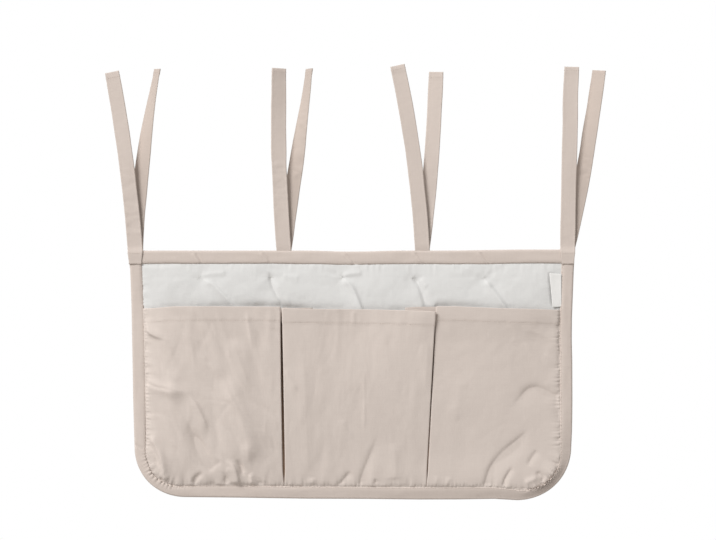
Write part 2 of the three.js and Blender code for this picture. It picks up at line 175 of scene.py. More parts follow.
def dents(run, distance, pitch, depth, reach, seed):
    """Narrow creases that a seam pulls in at uneven places."""
    near = bell(sway(run / pitch, seed), 0.22)
    length = reach * (1 + 0.6 * sway(run / (2 * pitch), seed + 1))
    return -depth * near * np.exp(-np.maximum(distance, 0) / length)


def crumple(x, z, span, count, lean, spread, depth, seed, fine):
    """Many short shallow creases about one direction, as in washed cotton, fine times their usual size."""
    draw = np.random.default_rng(seed)
    total = np.zeros(x.shape)
    for _ in range(count):
        across = x - draw.uniform(*span)
        up = z - draw.uniform(POCKET_BOTTOM, POCKET_TOP)
        angle = math.radians(lean + spread * draw.normal())
        length, width = fine * draw.uniform(12, 48), fine * draw.uniform(2.2, 9)
        along = across * math.cos(angle) + up * math.sin(angle)
        off = up * math.cos(angle) - across * math.sin(angle) + 0.005 * draw.normal() * along**2
        height = depth * draw.choice((-1, 1)) * draw.uniform(0.3, 1) * width / 5
        total += height * np.exp(-((along / length) ** 2) - (off / width) ** 2)
    return total


def table(pairs, value):
    """A value read from a short table of places and sizes."""
    places, sizes = np.array(sorted(pairs), float).T
    return np.interp(value, places, sizes)


def finer(grid):
    """A grid with a point added halfway between each pair, in both of its directions."""
    for axis in (0, 1):
        grid = np.moveaxis(grid, axis, 0)
        ends = np.concatenate([2 * grid[:1] - grid[1:2], grid, 2 * grid[-1:] - grid[-2:-1]])
        fine = np.empty((2 * len(grid) - 1, *grid.shape[1:]))
        fine[::2] = grid
        fine[1::2] = (9 * (grid[:-1] + grid[1:]) - ends[:-3] - ends[3:]) / 16
        grid = np.moveaxis(fine, 0, axis)
    return grid


def grid_of(x, y, z):
    """Points from their three measures, each spread over the whole grid."""
    return np.stack(np.broadcast_arrays(x, y, z), -1)


def steps(grid, axis):
    """Distances from each point of a grid to the next, in one of its directions."""
    return np.linalg.norm(np.diff(grid, axis=axis), axis=2)


def normals(grid):
    """The direction that each point of a grid faces."""
    facing = np.cross(np.gradient(grid, axis=0), np.gradient(grid, axis=1))
    return facing / np.maximum(np.linalg.norm(facing, axis=2, keepdims=True), 1e-9)


# The panel's outline


def half_width(z, inset):
    """Half the panel's width at a height, taken a distance inside its outer edge."""
    z = np.asarray(z, float)
    radius = CORNER_RADIUS - inset
    below = CORNER_Z - z
    straight = TOP_HALF + z * math.tan(LEAN) - inset / math.cos(LEAN)
    bend = CORNER_X + np.sqrt(np.maximum(radius**2 - below**2, 0))
    return np.where(below <= radius * math.sin(LEAN), straight, bend)


def edge_distance(x, z):
    """Distance inside the bound sides, round corners and bottom."""
    side = (TOP_HALF + z * math.tan(LEAN) - np.abs(x)) * math.cos(LEAN)
    dx, dz = np.abs(x) - CORNER_X, z - CORNER_Z
    in_corner = (dx > 0) & (dz < -dx * math.tan(LEAN))
    return np.where(in_corner, CORNER_RADIUS - np.hypot(dx, dz), np.minimum(side, z + PANEL_HEIGHT))


def edge_run(x, z):
    """How far along the bound edge a point lies, from the top left corner round to the top right."""
    angle = -np.arctan2(z - CORNER_Z, np.abs(x) - CORNER_X)
    turned = CORNER_RADIUS * np.clip(angle - LEAN, 0, math.pi / 2 - LEAN)
    run = np.minimum(-z, SIDE_RUN) + turned + np.maximum(CORNER_X - np.abs(x), 0) * (z < CORNER_Z)
    return np.where(x < 0, run, 2 * HALF_RUN - run)


def near_corner(run, middle, width, power):
    """1 round a bottom corner and 0 away from it: middle and width are shares of the corner's length."""
    return bell(np.abs(run - HALF_RUN) - CORNER_X - middle * CORNER_RUN, width * CORNER_RUN, power)


def corner_narrowing(run):
    """How much narrower the side binding is round the corners."""
    return np.where(run < HALF_RUN, 4.5, 5.5) * near_corner(run, 0.5, 0.5, 2)


def heights_down(start, inset, step, corner_steps):
    """Heights from a start to the bottom of a layer, closer together round the corners."""
    straight = np.linspace(start, CORNER_Z, round((start - CORNER_Z) / step) + 1)
    angles = np.linspace(0, math.pi / 2, corner_steps + 1)[1:]
    return np.concatenate([straight, CORNER_Z - (CORNER_RADIUS - inset) * np.sin(angles)])


# Meshes


def put(name, data):
    """A new object in the scene."""
    made = bpy.data.objects.new(name, data)
    bpy.context.scene.collection.objects.link(made)
    return made


def add_piece(name, points, faces, uv, finish):
    mesh = bpy.data.meshes.new(name)
    mesh.from_pydata((np.asarray(points) * MM).tolist(), [], np.asarray(faces).tolist())
    mesh.materials.append(finish)
    layer = mesh.uv_layers.new(name="Cloth")
    corners = np.zeros(len(mesh.loops), np.int32)
    mesh.loops.foreach_get("vertex_index", corners)
    layer.data.foreach_set("uv", (np.asarray(uv) * MM)[corners].astype(np.float32).ravel())
    mesh.shade_smooth()
    return put(name, mesh)


def sheet_faces(rows, columns):
    """Faces of a closed sheet whose front points come first and whose back points follow."""
    index = np.arange(rows * columns).reshape(rows, columns)
    front = np.stack([index[:-1, :-1], index[1:, :-1], index[1:, 1:], index[:-1, 1:]], -1).reshape(-1, 4)
    border = np.concatenate([index[:, 0], index[-1, 1:], index[-2::-1, -1], index[0, -2::-1]])
    here, after = border[:-1], border[1:]
    back = rows * columns
    sides = np.stack([after, here, here + back, after + back], -1)
    return np.concatenate([front, front[:, ::-1] + back, sides])


def cloth(name, middle, thickness, finish, uv=None):
    """A closed sheet about the grid of points in its middle, which runs in rows from the top.

    Its thickness is given for each point. Without uv, the grid is laid out flat."""
    rows, columns = middle.shape[:2]
    half = normals(middle) * np.broadcast_to(thickness, (rows, columns))[..., None] / 2
    points = np.concatenate([(middle + half).reshape(-1, 3), (middle - half).reshape(-1, 3)])
    if uv is None:
        spacing = steps(middle, 1).mean(0), steps(middle, 0).mean(1)
        across, down = (np.concatenate([[0], np.cumsum(apart)]) for apart in spacing)
        uv = np.stack(np.meshgrid(across, -down), -1)
    flat = uv.reshape(-1, 2)
    return add_piece(name, points, sheet_faces(rows, columns), np.concatenate([flat, flat]), finish)


def rim(distance, radius):
    """Share of the thickness near an edge of cloth, so that the edge is round."""
    return np.sqrt(np.clip(1 - (1 - np.clip(distance / radius, 0.02, 1)) ** 2, 0.04, 1))


# Finishes


class Wire:
    """A value in a node tree: sums and products of wires add Math nodes."""

    def __init__(self, tree, socket=None):
        self.tree = tree
        self.socket = socket

    def node(self, kind, settings=None, inputs=None, output=0):
        """Adds a node, makes its settings, fills its sockets and gives one of its outputs."""
        made = self.tree.nodes.new(kind)
        for name, value in (settings or {}).items():
            setattr(made, name, value)
        for key, value in (inputs or {}).items():
            if isinstance(value, Wire):
                self.tree.links.new(value.socket, made.inputs[key])
            else:
                made.inputs[key].default_value = value
        return Wire(self.tree, made.outputs[output] if made.outputs else None)

    def math(self, operation, *values):
        return self.node("ShaderNodeMath", {"operation": operation}, dict(enumerate(values)))

    def between(self, first, second):
        """A colour that goes from the first to the second as this value goes from 0 to 1."""
        settings = {"data_type": "RGBA", "clamp_factor": True}
        return self.node("ShaderNodeMix", settings, {"Factor": self, "A": first, "B": second}, output=2)

    def __add__(self, other):
        return self.math("ADD", self, other)

    def __sub__(self, other):
        return self.math("SUBTRACT", self, other)

    def __mul__(self, other):
        return self.math("MULTIPLY", self, other)

    __radd__ = __add__
    __rmul__ = __mul__


def new_tree(name):
    finish = bpy.data.materials.new(name)
    finish.use_nodes = True
    finish.node_tree.nodes.clear()
    return finish, Wire(finish.node_tree)


def linear(red, green, blue):
    """A colour given as it looks, from 0 to 255, in linear light."""
    shares = [value / 255 for value in (red, green, blue)]
    return [v / 12.92 if v <= 0.04045 else ((v + 0.055) / 1.055) ** 2.4 for v in shares] + [1.0]


PAINTED_SHADE_START = 0.082
PAINTED_SHADE_RATE = 150.0


def cotton(name, colour, shade, thread=0.0009, weave=0.25, crease=0.013, painted_shade=None):
    """Plain-weave cotton: threads over and under each other, slubs in the yarn and a faint crumple.

    A painted shade colour takes over from PAINTED_SHADE_START metres below the panel's top edge, standing
    in for the shadow deep in the pleats and slits."""
    finish, start = new_tree(name)
    place = start.node("ShaderNodeUVMap", {"uv_map": "Cloth"})
    across, down = (start.node("ShaderNodeSeparateXYZ", inputs={0: place}, output=i) for i in (0, 1))
    over, under = (way.math("SINE", way * (math.pi / thread)) for way in (across, down))
    threads = over * under

    def noise(scale, detail, stretch=(1, 1, 1)):
        spread = start.node("ShaderNodeVectorMath", {"operation": "MULTIPLY"}, {0: place, 1: stretch})
        return start.node("ShaderNodeTexNoise", inputs={"Vector": spread, "Scale": scale, "Detail": detail})

    slubs = noise(1.0, 2.0, (40, 900, 0)) + noise(1.0, 2.0, (900, 40, 0))
    tone = 0.5 + 0.22 * threads + 0.55 * (slubs - 1.0) + 0.5 * (noise(14.0, 3.0) - 0.5)
    base = tone.between(shade, colour)
    # Painted shade: below a set height under the top edge the colour darkens, for the shadow deep in the
    # pleats.
    if painted_shade:
        base = ((down + PAINTED_SHADE_START) * -PAINTED_SHADE_RATE).between(base, painted_shade)
    height = weave * (threads + 1.2 * slubs) + 3.6 * noise(1 / crease, 4.0)
    bump = start.node("ShaderNodeBump", inputs={"Strength": 0.6, "Distance": 0.0002, "Height": height})
    shader = start.node(
        "ShaderNodeBsdfPrincipled",
        inputs={
            "Base Color": base,
            "Roughness": 0.9,
            "Specular IOR Level": 0.25,
            "Sheen Weight": 0.12,
            "Sheen Roughness": 0.5,
            "Normal": bump,
        },
    )
    start.node("ShaderNodeOutputMaterial", inputs={"Surface": shader})
    return finish


SAND = linear(217, 206, 198), linear(207, 195, 187)
sand = cotton("sand_cotton", *SAND)
# Painted shade: this copy of the sand cotton darkens below the pockets' top edge, standing in for the
# shadow inside the pleats and slits.
sand_painted_shade = cotton("sand_cotton_painted_shade", *SAND, painted_shade=linear(164, 138, 119))
sand_tape = cotton("sand_tape", linear(215, 203, 195), linear(205, 192, 183), crease=0.012)
# Painted shade: a darker copy of the tape colour for the ties twisted far round towards the lamp, so that
# they look less brightly lit.
tape_painted_shade = cotton("sand_tape_painted_shade", linear(204, 191, 182), linear(192, 178, 168), crease=0.012)
white = cotton("white_cotton", linear(225, 224.5, 223), linear(218, 217.5, 215.5), thread=0.0007)
satin = cotton("label_satin", linear(242, 241, 239), linear(236, 235, 232), thread=0.0005, weave=0.1)
sand_thread = cotton("sand_thread", linear(205, 192, 182), linear(190, 176, 165), thread=0.0004)
white_thread = cotton("white_thread", linear(226, 225, 222), linear(212, 211, 208), thread=0.0004)


# Stitches


def stitch_row_tree():
    """Threads laid end to end along seam lines."""
    tree = bpy.data.node_groups.new("Stitch row", "GeometryNodeTree")
    kinds = {
        "Seam": "NodeSocketGeometry",
        "Pitch": "NodeSocketFloat",
        "Stitch": "NodeSocketFloat",
        "Thread": "NodeSocketFloat",
        "Seed": "NodeSocketInt",
        "Finish": "NodeSocketMaterial",
    }
    for name, kind in kinds.items():
        tree.interface.new_socket(name, in_out="INPUT", socket_type=kind)
    tree.interface.new_socket("Stitches", in_out="OUTPUT", socket_type="NodeSocketGeometry")
    start = Wire(tree)
    given = tree.nodes.new("NodeGroupInput").outputs
    seam, pitch, stitch, thread, seed, finish = (Wire(tree, given[name]) for name in kinds)
    line = start.node("GeometryNodeMeshToCurve", inputs={"Mesh": seam})
    places = start.node("GeometryNodeResampleCurve", {"mode": "LENGTH"}, {"Curve": line, "Length": pitch})
    tangent = start.node("GeometryNodeInputTangent")
    turn = start.node("FunctionNodeAlignRotationToVector", {"axis": "X"}, {"Vector": tangent})
    limits = {2: 0.85, 3: 1.15, "Seed": seed}
    uneven = start.node("FunctionNodeRandomValue", {"data_type": "FLOAT"}, limits, output=1)
    size = start.node("ShaderNodeCombineXYZ", inputs={0: stitch * uneven, 1: thread, 2: thread * 0.8})
    bead = start.node("GeometryNodeMeshUVSphere", inputs={"Segments": 6, "Rings": 4, "Radius": 0.5})
    setting = {"Points": places, "Instance": bead, "Rotation": turn, "Scale": size}
    laid = start.node("GeometryNodeInstanceOnPoints", inputs=setting)
    real = start.node("GeometryNodeRealizeInstances", inputs={"Geometry": laid})
    smooth = start.node("GeometryNodeSetShadeSmooth", inputs={"Geometry": real})
    done = start.node("GeometryNodeSetMaterial", inputs={"Geometry": smooth, "Material": finish})
    start.node("NodeGroupOutput", inputs={0: done})
    return tree


STITCH_ROW = stitch_row_tree()


def sew(name, lines, finish, pitch, stitch, thread, seed=1):
    """Stitches along lines of points, as one plain mesh."""
    points = np.concatenate(lines)
    starts = np.cumsum([0] + [len(line) for line in lines[:-1]]).tolist()
    edges = [(first + i, first + i + 1) for first, line in zip(starts, lines) for i in range(len(line) - 1)]
    seam = bpy.data.meshes.new(name)
    seam.from_pydata((points * MM).tolist(), edges, [])
    holder = put(f"{name}_seam", seam)
    rows = holder.modifiers.new("Stitches", "NODES")
    rows.node_group = STITCH_ROW
    values = {"Pitch": pitch * MM, "Stitch": stitch * MM, "Thread": thread * MM}
    values |= {"Seed": seed, "Finish": finish}
    for item in STITCH_ROW.interface.items_tree:
        if item.in_out == "INPUT" and item.name in values:
            rows[item.identifier] = values[item.name]
    graph = bpy.context.evaluated_depsgraph_get()
    mesh = bpy.data.meshes.new_from_object(holder.evaluated_get(graph), depsgraph=graph)
    mesh.name = name
    piece = put(name, mesh)
    bpy.data.objects.remove(holder)
    return piece


# Quilted panel

CROWN = 5.5
CROWN_RISE = 45
QUILT_EDGE = -1.4
REAR_EDGE = 1.9
REAR_CROWN = 2.2
TUFT_PITCH_X = 95
TUFT_PITCH_Z = 75
FIRST_TUFT = (-203, -36)
TUFT_RADIUS = 17
TUFT_MARGIN = 30
QUILT_INSET = 10


def crown_rise(distance, span=CROWN_RISE):
    return 1 - (1 - np.clip(distance / span, 0, 1)) ** 2


def quilt_rise(x, z):
    """Share of the crown at a point: none in the binding, all of it well inside.

    Under the pockets it rises more slowly from the right side and from the bottom."""
    covered = ease(POCKET_TOP - 6, POCKET_TOP - 50, z)
    side_span = CROWN_RISE * (1 + 1.5 * covered * ease(40, 160, x))
    low_span = CROWN_RISE * (1 + 2 * ease(-190, -20, x))
    inside = half_width(z, BINDING_WIDTH) - np.abs(x)
    side = crown_rise(inside, side_span) * (1 - 0.4 * covered * ease(30, 150, x))
    return side * crown_rise(-BINDING_WIDTH - z) * crown_rise(z + PANEL_HEIGHT - BINDING_WIDTH, low_span)


def quilt_envelope(x, z):
    return QUILT_EDGE - CROWN * quilt_rise(x, z)


def tuft_places():
    """Staggered rows of tufts, left out where the binding is near."""
    places = []
    for row in range(4):
        for column in range(-1, 7):
            x = FIRST_TUFT[0] + TUFT_PITCH_X * (column + 0.5 * (row % 2))
            z = FIRST_TUFT[1] - TUFT_PITCH_Z * row
            if edge_distance(np.array(x), np.array(z)) > TUFT_MARGIN:
                places.append((x, z))
    return places


TUFTS = tuft_places()
# Each crease: its line in x and z, its height and its width on the left and on the right
FRONT_CREASES = (
    ([(-200, -34), (-195, -33), (-183, -30), (-167, -29)], 0.8, 3, 4),
    ([(-198, -38), (-186, -43), (-175, -53), (-155, -74), (-140, -92)], 2.2, 2, 5),
    ([(-110, -27), (-107, -43), (-102, -57), (-92, -72), (-80, -90)], -2.5, 5, 2),
    ([(-92, -33), (-70, -36)], 0.8, 3, 5),
    ([(-15, -37), (-9, -39), (1, -47), (6, -58), (12, -74), (18, -92)], 2.7, 2, 6),
    ([(-12, -33), (14, -29)], 1.0, 3, 4),
    ([(80, -36), (87, -42), (93, -55), (98, -74), (103, -92)], -2.5, 6, 2),
    ([(92, -38), (101, -48)], 0.7, 3, 5),
    ([(177, -37), (180, -42), (188, -51), (201, -68), (214, -88)], 2.5, 2, 5),
    ([(182, -45), (191, -55), (204, -71), (218, -90)], -1.2, 6, 2),
)
MOUTH_LINE = (
    (-285, -77.5), (-262, -76.5), (-235, -74), (-94, -74.5), (-91, -76.5), (40, -78.5), (75, -79.5),
    (110, -80), (114, -74.5), (138, -74), (195, -76.5), (240, -77.5), (285, -79.5),
)
MOUTH_HOLLOW = (
    (-270, 0), (-235, 0.8), (-190, 1.6), (-150, 2.8), (-100, 4.8), (-80, 4.8), (-55, 2.2), (-20, 1.2),
    (50, 1.4), (78, 3.2), (125, 3.4), (150, 2.0), (185, 1.2), (200, 2.2), (215, 1.0), (270, 0.5),
)
SWELL_PRESSURE = 4
SWELL_STEPS = 20
SWELL_CAP = 6


def tuft_pull(x, z):
    """Share of the crown that the tufts pull in."""
    pull = np.zeros(x.shape)
    for tuft_x, tuft_z in TUFTS:
        distance = np.hypot(x - tuft_x, z - tuft_z)
        pull = np.maximum(pull, bell(distance, TUFT_RADIUS))
        pull = np.maximum(pull, 0.7 * np.exp(-distance / 7))
    return 0.56 * pull


def mouth_hollow(x, z):
    """How far the quilt falls in under the pocket mouths."""
    above = np.maximum(z - table(MOUTH_LINE, x), 0)
    depth = table(MOUTH_HOLLOW, x) * (0.55 + 0.4 * sway(x / 15, 19))
    return depth * bell(above, 4.6, 1.5) * ease(-112, -84, z)


def left_puff(x, z):
    """How far the quilt stands up from its seam in the left binding."""
    inside = x + half_width(z, BINDING_WIDTH)
    uneven = 0.8 + 0.6 * sway(z / 4, 27) * ease(12, 2, inside)
    rise = swelling(np.maximum(inside - 0.3, 0), 2)
    return 1.2 * uneven * rise * ease(60, 10, inside) * ease(-18, -24, z)


def label_hollow(x, z):
    """Where the quilt gives way under the label."""
    edge = 262.6 + 4.3 * (-31 - z) / 43
    return 2.0 * ease(edge - 1.5, edge + 0.6, x) * ease(-28, -32, z) * ease(-77, -71, z)


def quilt_detail(x, z, seed):
    """Drawn creases and puckers of one face of the quilt, inwards positive."""
    drawn = np.zeros(x.shape)
    for number, (tuft_x, tuft_z) in enumerate(TUFTS):
        dx, dz = x - tuft_x, z - tuft_z
        rays = ripple(np.arctan2(dz, dx) * 1.9 + 10, number + 0.5, 11 + seed)
        drawn += 0.5 * rays * bell(np.hypot(dx, dz) - 15, 14)
    rows = sum(bell(z - FIRST_TUFT[1] + drop, 1.6) for drop in (0, 2 * TUFT_PITCH_Z))
    slack = 0.26 * ripple(x / 34, z / 22, 21 + seed) + 0.2 * ripple(x / 13, z / 11, 23 + seed)
    slack = slack + 0.12 * ripple(x / 5, z / 6, 25 + seed)
    seam = gathers(edge_run(x, z), edge_distance(x, z) - BINDING_WIDTH, 5, 0.7, 8, 31 + seed)
    top_seam = gathers(x, -BINDING_WIDTH - z, 4, 1.0, 8, 37 + seed)
    near = ease(0, 4, np.minimum(edge_distance(x, z), -z) - BINDING_WIDTH)
    return (drawn + slack + 0.08 * rows) * ease(0, 0.5, quilt_rise(x, z)) + (seam + top_seam) * near


def swell(points, faces, held):
    """Lets the quilt's cover swell with its filling between the points that hold it."""
    mesh = bpy.data.meshes.new("quilt_cover")
    mesh.from_pydata((points * MM).tolist(), [], faces.tolist())
    cover = put("quilt_cover", mesh)
    scene = bpy.context.scene
    cover.vertex_groups.new(name="held").add(np.flatnonzero(held).tolist(), 1.0, "REPLACE")
    filling = cover.modifiers.new("filling", "CLOTH")
    filling.settings.vertex_group_mass = "held"
    filling.settings.use_pressure = True
    filling.settings.uniform_pressure_force = SWELL_PRESSURE
    filling.settings.effector_weights.gravity = 0
    filling.collision_settings.use_collision = False
    filling.point_cache.frame_end = SWELL_STEPS
    for step in range(1, SWELL_STEPS + 1):
        scene.frame_set(step)
    swollen = np.zeros(3 * len(points), np.float32)
    cover.evaluated_get(bpy.context.evaluated_depsgraph_get()).data.vertices.foreach_get("co", swollen)
    scene.frame_set(1)
    bpy.data.objects.remove(cover)
    move = swollen.reshape(-1, 3) / MM - points
    length = np.linalg.norm(move, axis=1, keepdims=True)
    return points + move * np.minimum(1, SWELL_CAP / np.maximum(length, 1e-6))


def make_quilt():
    """The two panel cloths and the filling between them: swollen between tufts and seams, then creased."""
    strip = np.linspace(-BINDING_WIDTH + 2, -84, 24)
    heights = np.concatenate([[-QUILT_INSET], strip, heights_down(-88, QUILT_INSET, 7, 10)])
    across = np.linspace(-1, 1, 171)
    z = np.repeat(heights[:, None], len(across), 1)
    x = half_width(z, QUILT_INSET) * across
    rise, pull = quilt_rise(x, z), tuft_pull(x, z)
    front = QUILT_EDGE - 0.7 * CROWN * rise * (1 - pull)
    rear = REAR_EDGE + 0.7 * REAR_CROWN * rise * (1 - 1.8 * pull)
    points = np.concatenate([grid_of(x, y, z).reshape(-1, 3) for y in (front, rear)])
    held = (edge_distance(x, z) < BINDING_WIDTH) | (z > -BINDING_WIDTH) | (pull > 0.5)
    points = swell(points, sheet_faces(*x.shape), np.tile(held.ravel(), 2))
    front, rear = (finer(part) for part in points.reshape(2, *x.shape, 3))
    x, z = front[..., 0], front[..., 2]
    loose = ease(0, 0.5, quilt_rise(x, z))
    detail = quilt_detail(x, z, 0)
    for crease in FRONT_CREASES:
        detail = detail - fold(x, z, *crease, 0.15, 0.1) * loose
    detail = detail + (mouth_hollow(x, z) + label_hollow(x, z)) * loose - left_puff(x, z)
    front[..., 1] = np.clip(np.maximum(front[..., 1], quilt_envelope(x, z)) + detail, None, 0.2)
    detail = quilt_detail(rear[..., 0], rear[..., 2], 5)
    rear[..., 1] = np.clip(rear[..., 1] - detail, 1.0, REAR_EDGE + 1.4 * REAR_CROWN)
    points = np.concatenate([front.reshape(-1, 3), rear.reshape(-1, 3)])
    quilt = add_piece("quilt", points, sheet_faces(*front.shape[:2]), points[:, [0, 2]], white)
    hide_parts("quilted_front", "wadding", "rear_cloth")
    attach(quilt, "panel")
    corners = [vertex.co for vertex in quilt.data.vertices]
    return BVHTree.FromPolygons(corners, [tuple(face.vertices) for face in quilt.data.polygons])


def skin_height(skin, x, z, side):
    """Height of the quilt's front (side -1) or rear (side 1) at places on the panel."""
    heights = np.zeros(np.shape(x))
    for place in np.ndindex(*heights.shape):
        start = Vector((x[place], side * 60, z[place])) * MM
        heights[place] = skin.ray_cast(start, Vector((0, -side, 0)))[0].y / MM
    return heights


def make_tacks(skin):
    """A small tack of three crossed stitches in each tuft, on both faces."""
    lines = []
    for number, (x, z) in enumerate(TUFTS):
        turn = 0.5 * sway(number + 0.5, 3)
        for angle in (0.2, 1.1, 2.2):
            reach = 3.2 * np.array([math.cos(angle + turn), math.sin(angle + turn)])
            ends = np.linspace(-1, 1, 5)[:, None] * reach + (x, z)
            for side in (-1, 1):
                heights = skin_height(skin, ends[:, 0], ends[:, 1], side) + side * 0.15
                lines.append(np.stack([ends[:, 0], heights, ends[:, 1]], 1))
    tacks = sew("quilt_tacks", lines, white_thread, pitch=1.5, stitch=1.9, thread=0.5)
    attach(tacks, "panel")


# Bindings

LIP_POINTS = 10
ROUND_POINTS = 9
FOLD_HALF = 2.4
CREST_SHARE = 0.32
# How far the sewn edge wanders from its line, at heights down the sides and at places along the bottom
LEFT_WANDER = (
    (0, 0), (-13, 0.8), (-26, 2.2), (-70, 2.6), (-110, 2.2), (-150, 1.8), (-200, 1.2), (-262, 1.2),
)
RIGHT_WANDER = (
    (0, 0), (-26, 0.8), (-90, 1.4), (-120, 0.8), (-146, -0.6), (-200, -2.4), (-240, -3.2), (-262, -3.0),
)
BOTTOM_WANDER = (
    (-221, 3.2), (-150, 2.4), (-60, 0.9), (20, 0.5), (90, -0.4), (140, -0.4), (190, 0.3), (221, -1.5),
)
# How far the folded edge lies back, along the edge from the middle of the bottom
DROOP = (
    (-420, 0), (-300, 0), (-221, 0.2), (-100, 0.9), (60, 2.4), (160, 3.5), (225, 4.5), (330, 3.4),
    (370, 0.6), (420, 0),
)
PINCH_RUN = 264
TOP_KINKS = (-203, -112, -1, 92, 178)


def binding_inset(x, z):
    """How much further in the side binding is sewn here than its own width."""
    low = ease(math.pi / 6, math.pi / 2, np.arctan2(CORNER_Z - z, np.abs(x) - CORNER_X))
    sideways = np.where(x < 0, table(LEFT_WANDER, z), table(RIGHT_WANDER, z))
    return sideways * (1 - low) + table(BOTTOM_WANDER, x) * low


def tape_section(front_lip, rear_lip, front_crest, rear_crest):
    """A tape folded over the panel's edge, from its front edge to its rear edge.

    Gives each point's distance inside the panel's edge, its side, its share of the way from the inner
    edge to the fold, and its height. The lips are the heights of the two inner edges, and the crests
    where the tape is highest."""
    outside = BINDING_HALF - BINDING_TAPE / 2
    lip = np.linspace(BINDING_WIDTH, BINDING_HALF, LIP_POINTS)
    turn = np.linspace(-math.pi / 2, math.pi / 2, ROUND_POINTS + 2)[1:-1]
    distance = np.concatenate([lip, BINDING_HALF - outside * np.cos(turn), lip[::-1]])[:, None]
    level = np.full(LIP_POINTS, FOLD_HALF)
    height = np.concatenate([-level, FOLD_HALF * np.sin(turn), level])[:, None]
    share = np.clip((BINDING_WIDTH - distance) / (BINDING_WIDTH - BINDING_HALF), 0, 1)
    side = np.sign(np.round(height, 6))
    lips = np.where(side < 0, front_lip, rear_lip)
    crest = np.where(side < 0, front_crest, rear_crest)
    before = np.clip(share / CREST_SHARE, 0, 1)
    after = np.clip((share - CREST_SHARE) / (1 - CREST_SHARE), 0, 1)
    rising = lips + (crest - lips) * np.sin(math.pi / 2 * before)
    falling = crest + (side * FOLD_HALF - crest) * after**1.4
    bent = np.where(share < CREST_SHARE, rising, falling)
    return distance, side, share, np.where(share >= 1, height, bent)


def finish_tape(name, node, middle, share):
    """The tape's mesh, with a row of stitches along both of its inner edges."""
    thickness = BINDING_TAPE * (0.6 + 0.4 * ease(0, 0.3, share)) * rim(share * 14 + 0.02, 0.4)
    piece = cloth(name, middle, thickness, sand_tape)
    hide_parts(node)
    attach(piece, "panel")
    seams = []
    for row in (1, len(share) - 2):
        away = np.zeros_like(middle[row])
        away[:, 1] = 0.4 * np.sign(middle[row, :, 1])
        seams.append((middle[row] + away)[8:-8])
    stitches = sew(f"{name}_stitches", seams, sand_thread, pitch=3.2, stitch=2.4, thread=0.5)
    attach(stitches, "panel")


def make_side_binding():
    """One tape down the left side, along the bottom and up the right side.

    It is gathered where it goes round the corners."""
    straight = np.linspace(0, CORNER_Z, 150)
    angle = np.linspace(LEAN, math.pi / 2, 81)[1:]
    round_x = CORNER_X + CORNER_RADIUS * np.cos(angle)
    half_x = np.concatenate([TOP_HALF + straight * math.tan(LEAN), round_x])
    half_z = np.concatenate([straight, CORNER_Z - CORNER_RADIUS * np.sin(angle)])
    half_turn = np.concatenate([np.full(len(straight), LEAN), angle])
    bottom = np.linspace(-CORNER_X, CORNER_X, 190)[1:-1]
    x = np.concatenate([-half_x, bottom, half_x[::-1]])
    z = np.concatenate([half_z, np.full(len(bottom), -PANEL_HEIGHT), half_z[::-1]])
    turn = np.concatenate([half_turn, np.full(len(bottom), math.pi / 2), math.pi - half_turn[::-1]])
    run = np.concatenate([[0], np.cumsum(np.hypot(np.diff(x), np.diff(z)))])
    inset = binding_inset(x, z)
    over_pocket = ease(POCKET_TOP + 8, POCKET_TOP - 2, z)
    distance, side, share, y = tape_section(-1.9 - 0.9 * over_pocket, 2.4, -2.9 - 0.3 * over_pocket, 3.1)
    inner = 1 - share
    corner = near_corner(run, 0.48, 0.3, 4)
    loose = stitch_wave(run, SIDE_SEAM)
    dimple = -0.6 * (1 - loose) * inner**2
    slant = run + 22 * share * (x > 0)
    pleated = np.abs(np.sin(math.pi * slant / 6.6 + 2.4 * sway(slant / 15, 43)))
    gather = corner * np.where(side < 0, 3.2 + (x > 0), 0.9) * (1 + 0.5 * sway(run / 8, 44))
    gather = gather * (pleated - 0.2) * inner**2
    soft = 0.4 * ripple(run / 26, share * 0.8, 45) * np.sin(math.pi * share)
    pinch = bell(run - PINCH_RUN + 9 * (share - 0.5), 1.5) * ease(0, 0.2, share) * (side < 0)
    y = y + side * (dimple + gather + soft - 1.0 * pinch) + table(DROOP, run - HALF_RUN) * share
    uneven = 0.8 * corner * sway(run / 4, 46) + 0.4 * sway(run / 24, 47) + 0.9 * (loose - 0.5)
    depth = distance + inset + inner * (uneven - corner_narrowing(run))
    middle = grid_of(x + depth * np.cos(turn), y, z + depth * np.sin(turn))
    above = np.clip(BINDING_HALF + middle[..., 2], 0, None)
    room = np.sqrt(np.clip(BINDING_HALF**2 - above**2, 0.01, None))
    middle[..., 1] = np.where(above > 0, np.clip(middle[..., 1], -room, room), middle[..., 1])
    finish_tape("side_binding_tape", "side_binding", middle, share)


def make_top_binding():
    """The tape over the top edge, with the slanted kinks of a bias strip."""
    half = float(half_width(-BINDING_WIDTH, BINDING_WIDTH)) + 3
    x = np.linspace(-half, half, 360)
    distance, side, share, y = tape_section(-1.9, 2.4, -2.6, 3.1)
    inner = 1 - share
    y = y - side * 0.3 * stitch_wave(x, TOP_SEAM) * inner**2
    for number, kink in enumerate(TOP_KINKS):
        slant = x - kink + 11 * (share - 0.5) + 2 * ripple(share * 2, number + 0.5, 54)
        crease = bell(slant, 1.6) - 0.7 * bell(slant + 3.4, 3)
        y = y - side * 1.3 * crease * ease(0, 0.15, share) * ease(1, 0.9, share)
    y = y + side * 0.4 * ripple(x / 24, share, 52) * np.sin(math.pi * share)
    depth = distance + (0.8 + 1.0 * ease(0, 200, x) + 0.5 * sway(x / 22, 53)) * inner
    lift = 1.3 * ease(-60, -5, x) * ease(70, 5, x) - 1.4 * ease(120, 235, x)
    middle = grid_of(x, y, -depth - lift)
    finish_tape("top_binding_tape", "top_binding", middle, share)


# Pockets

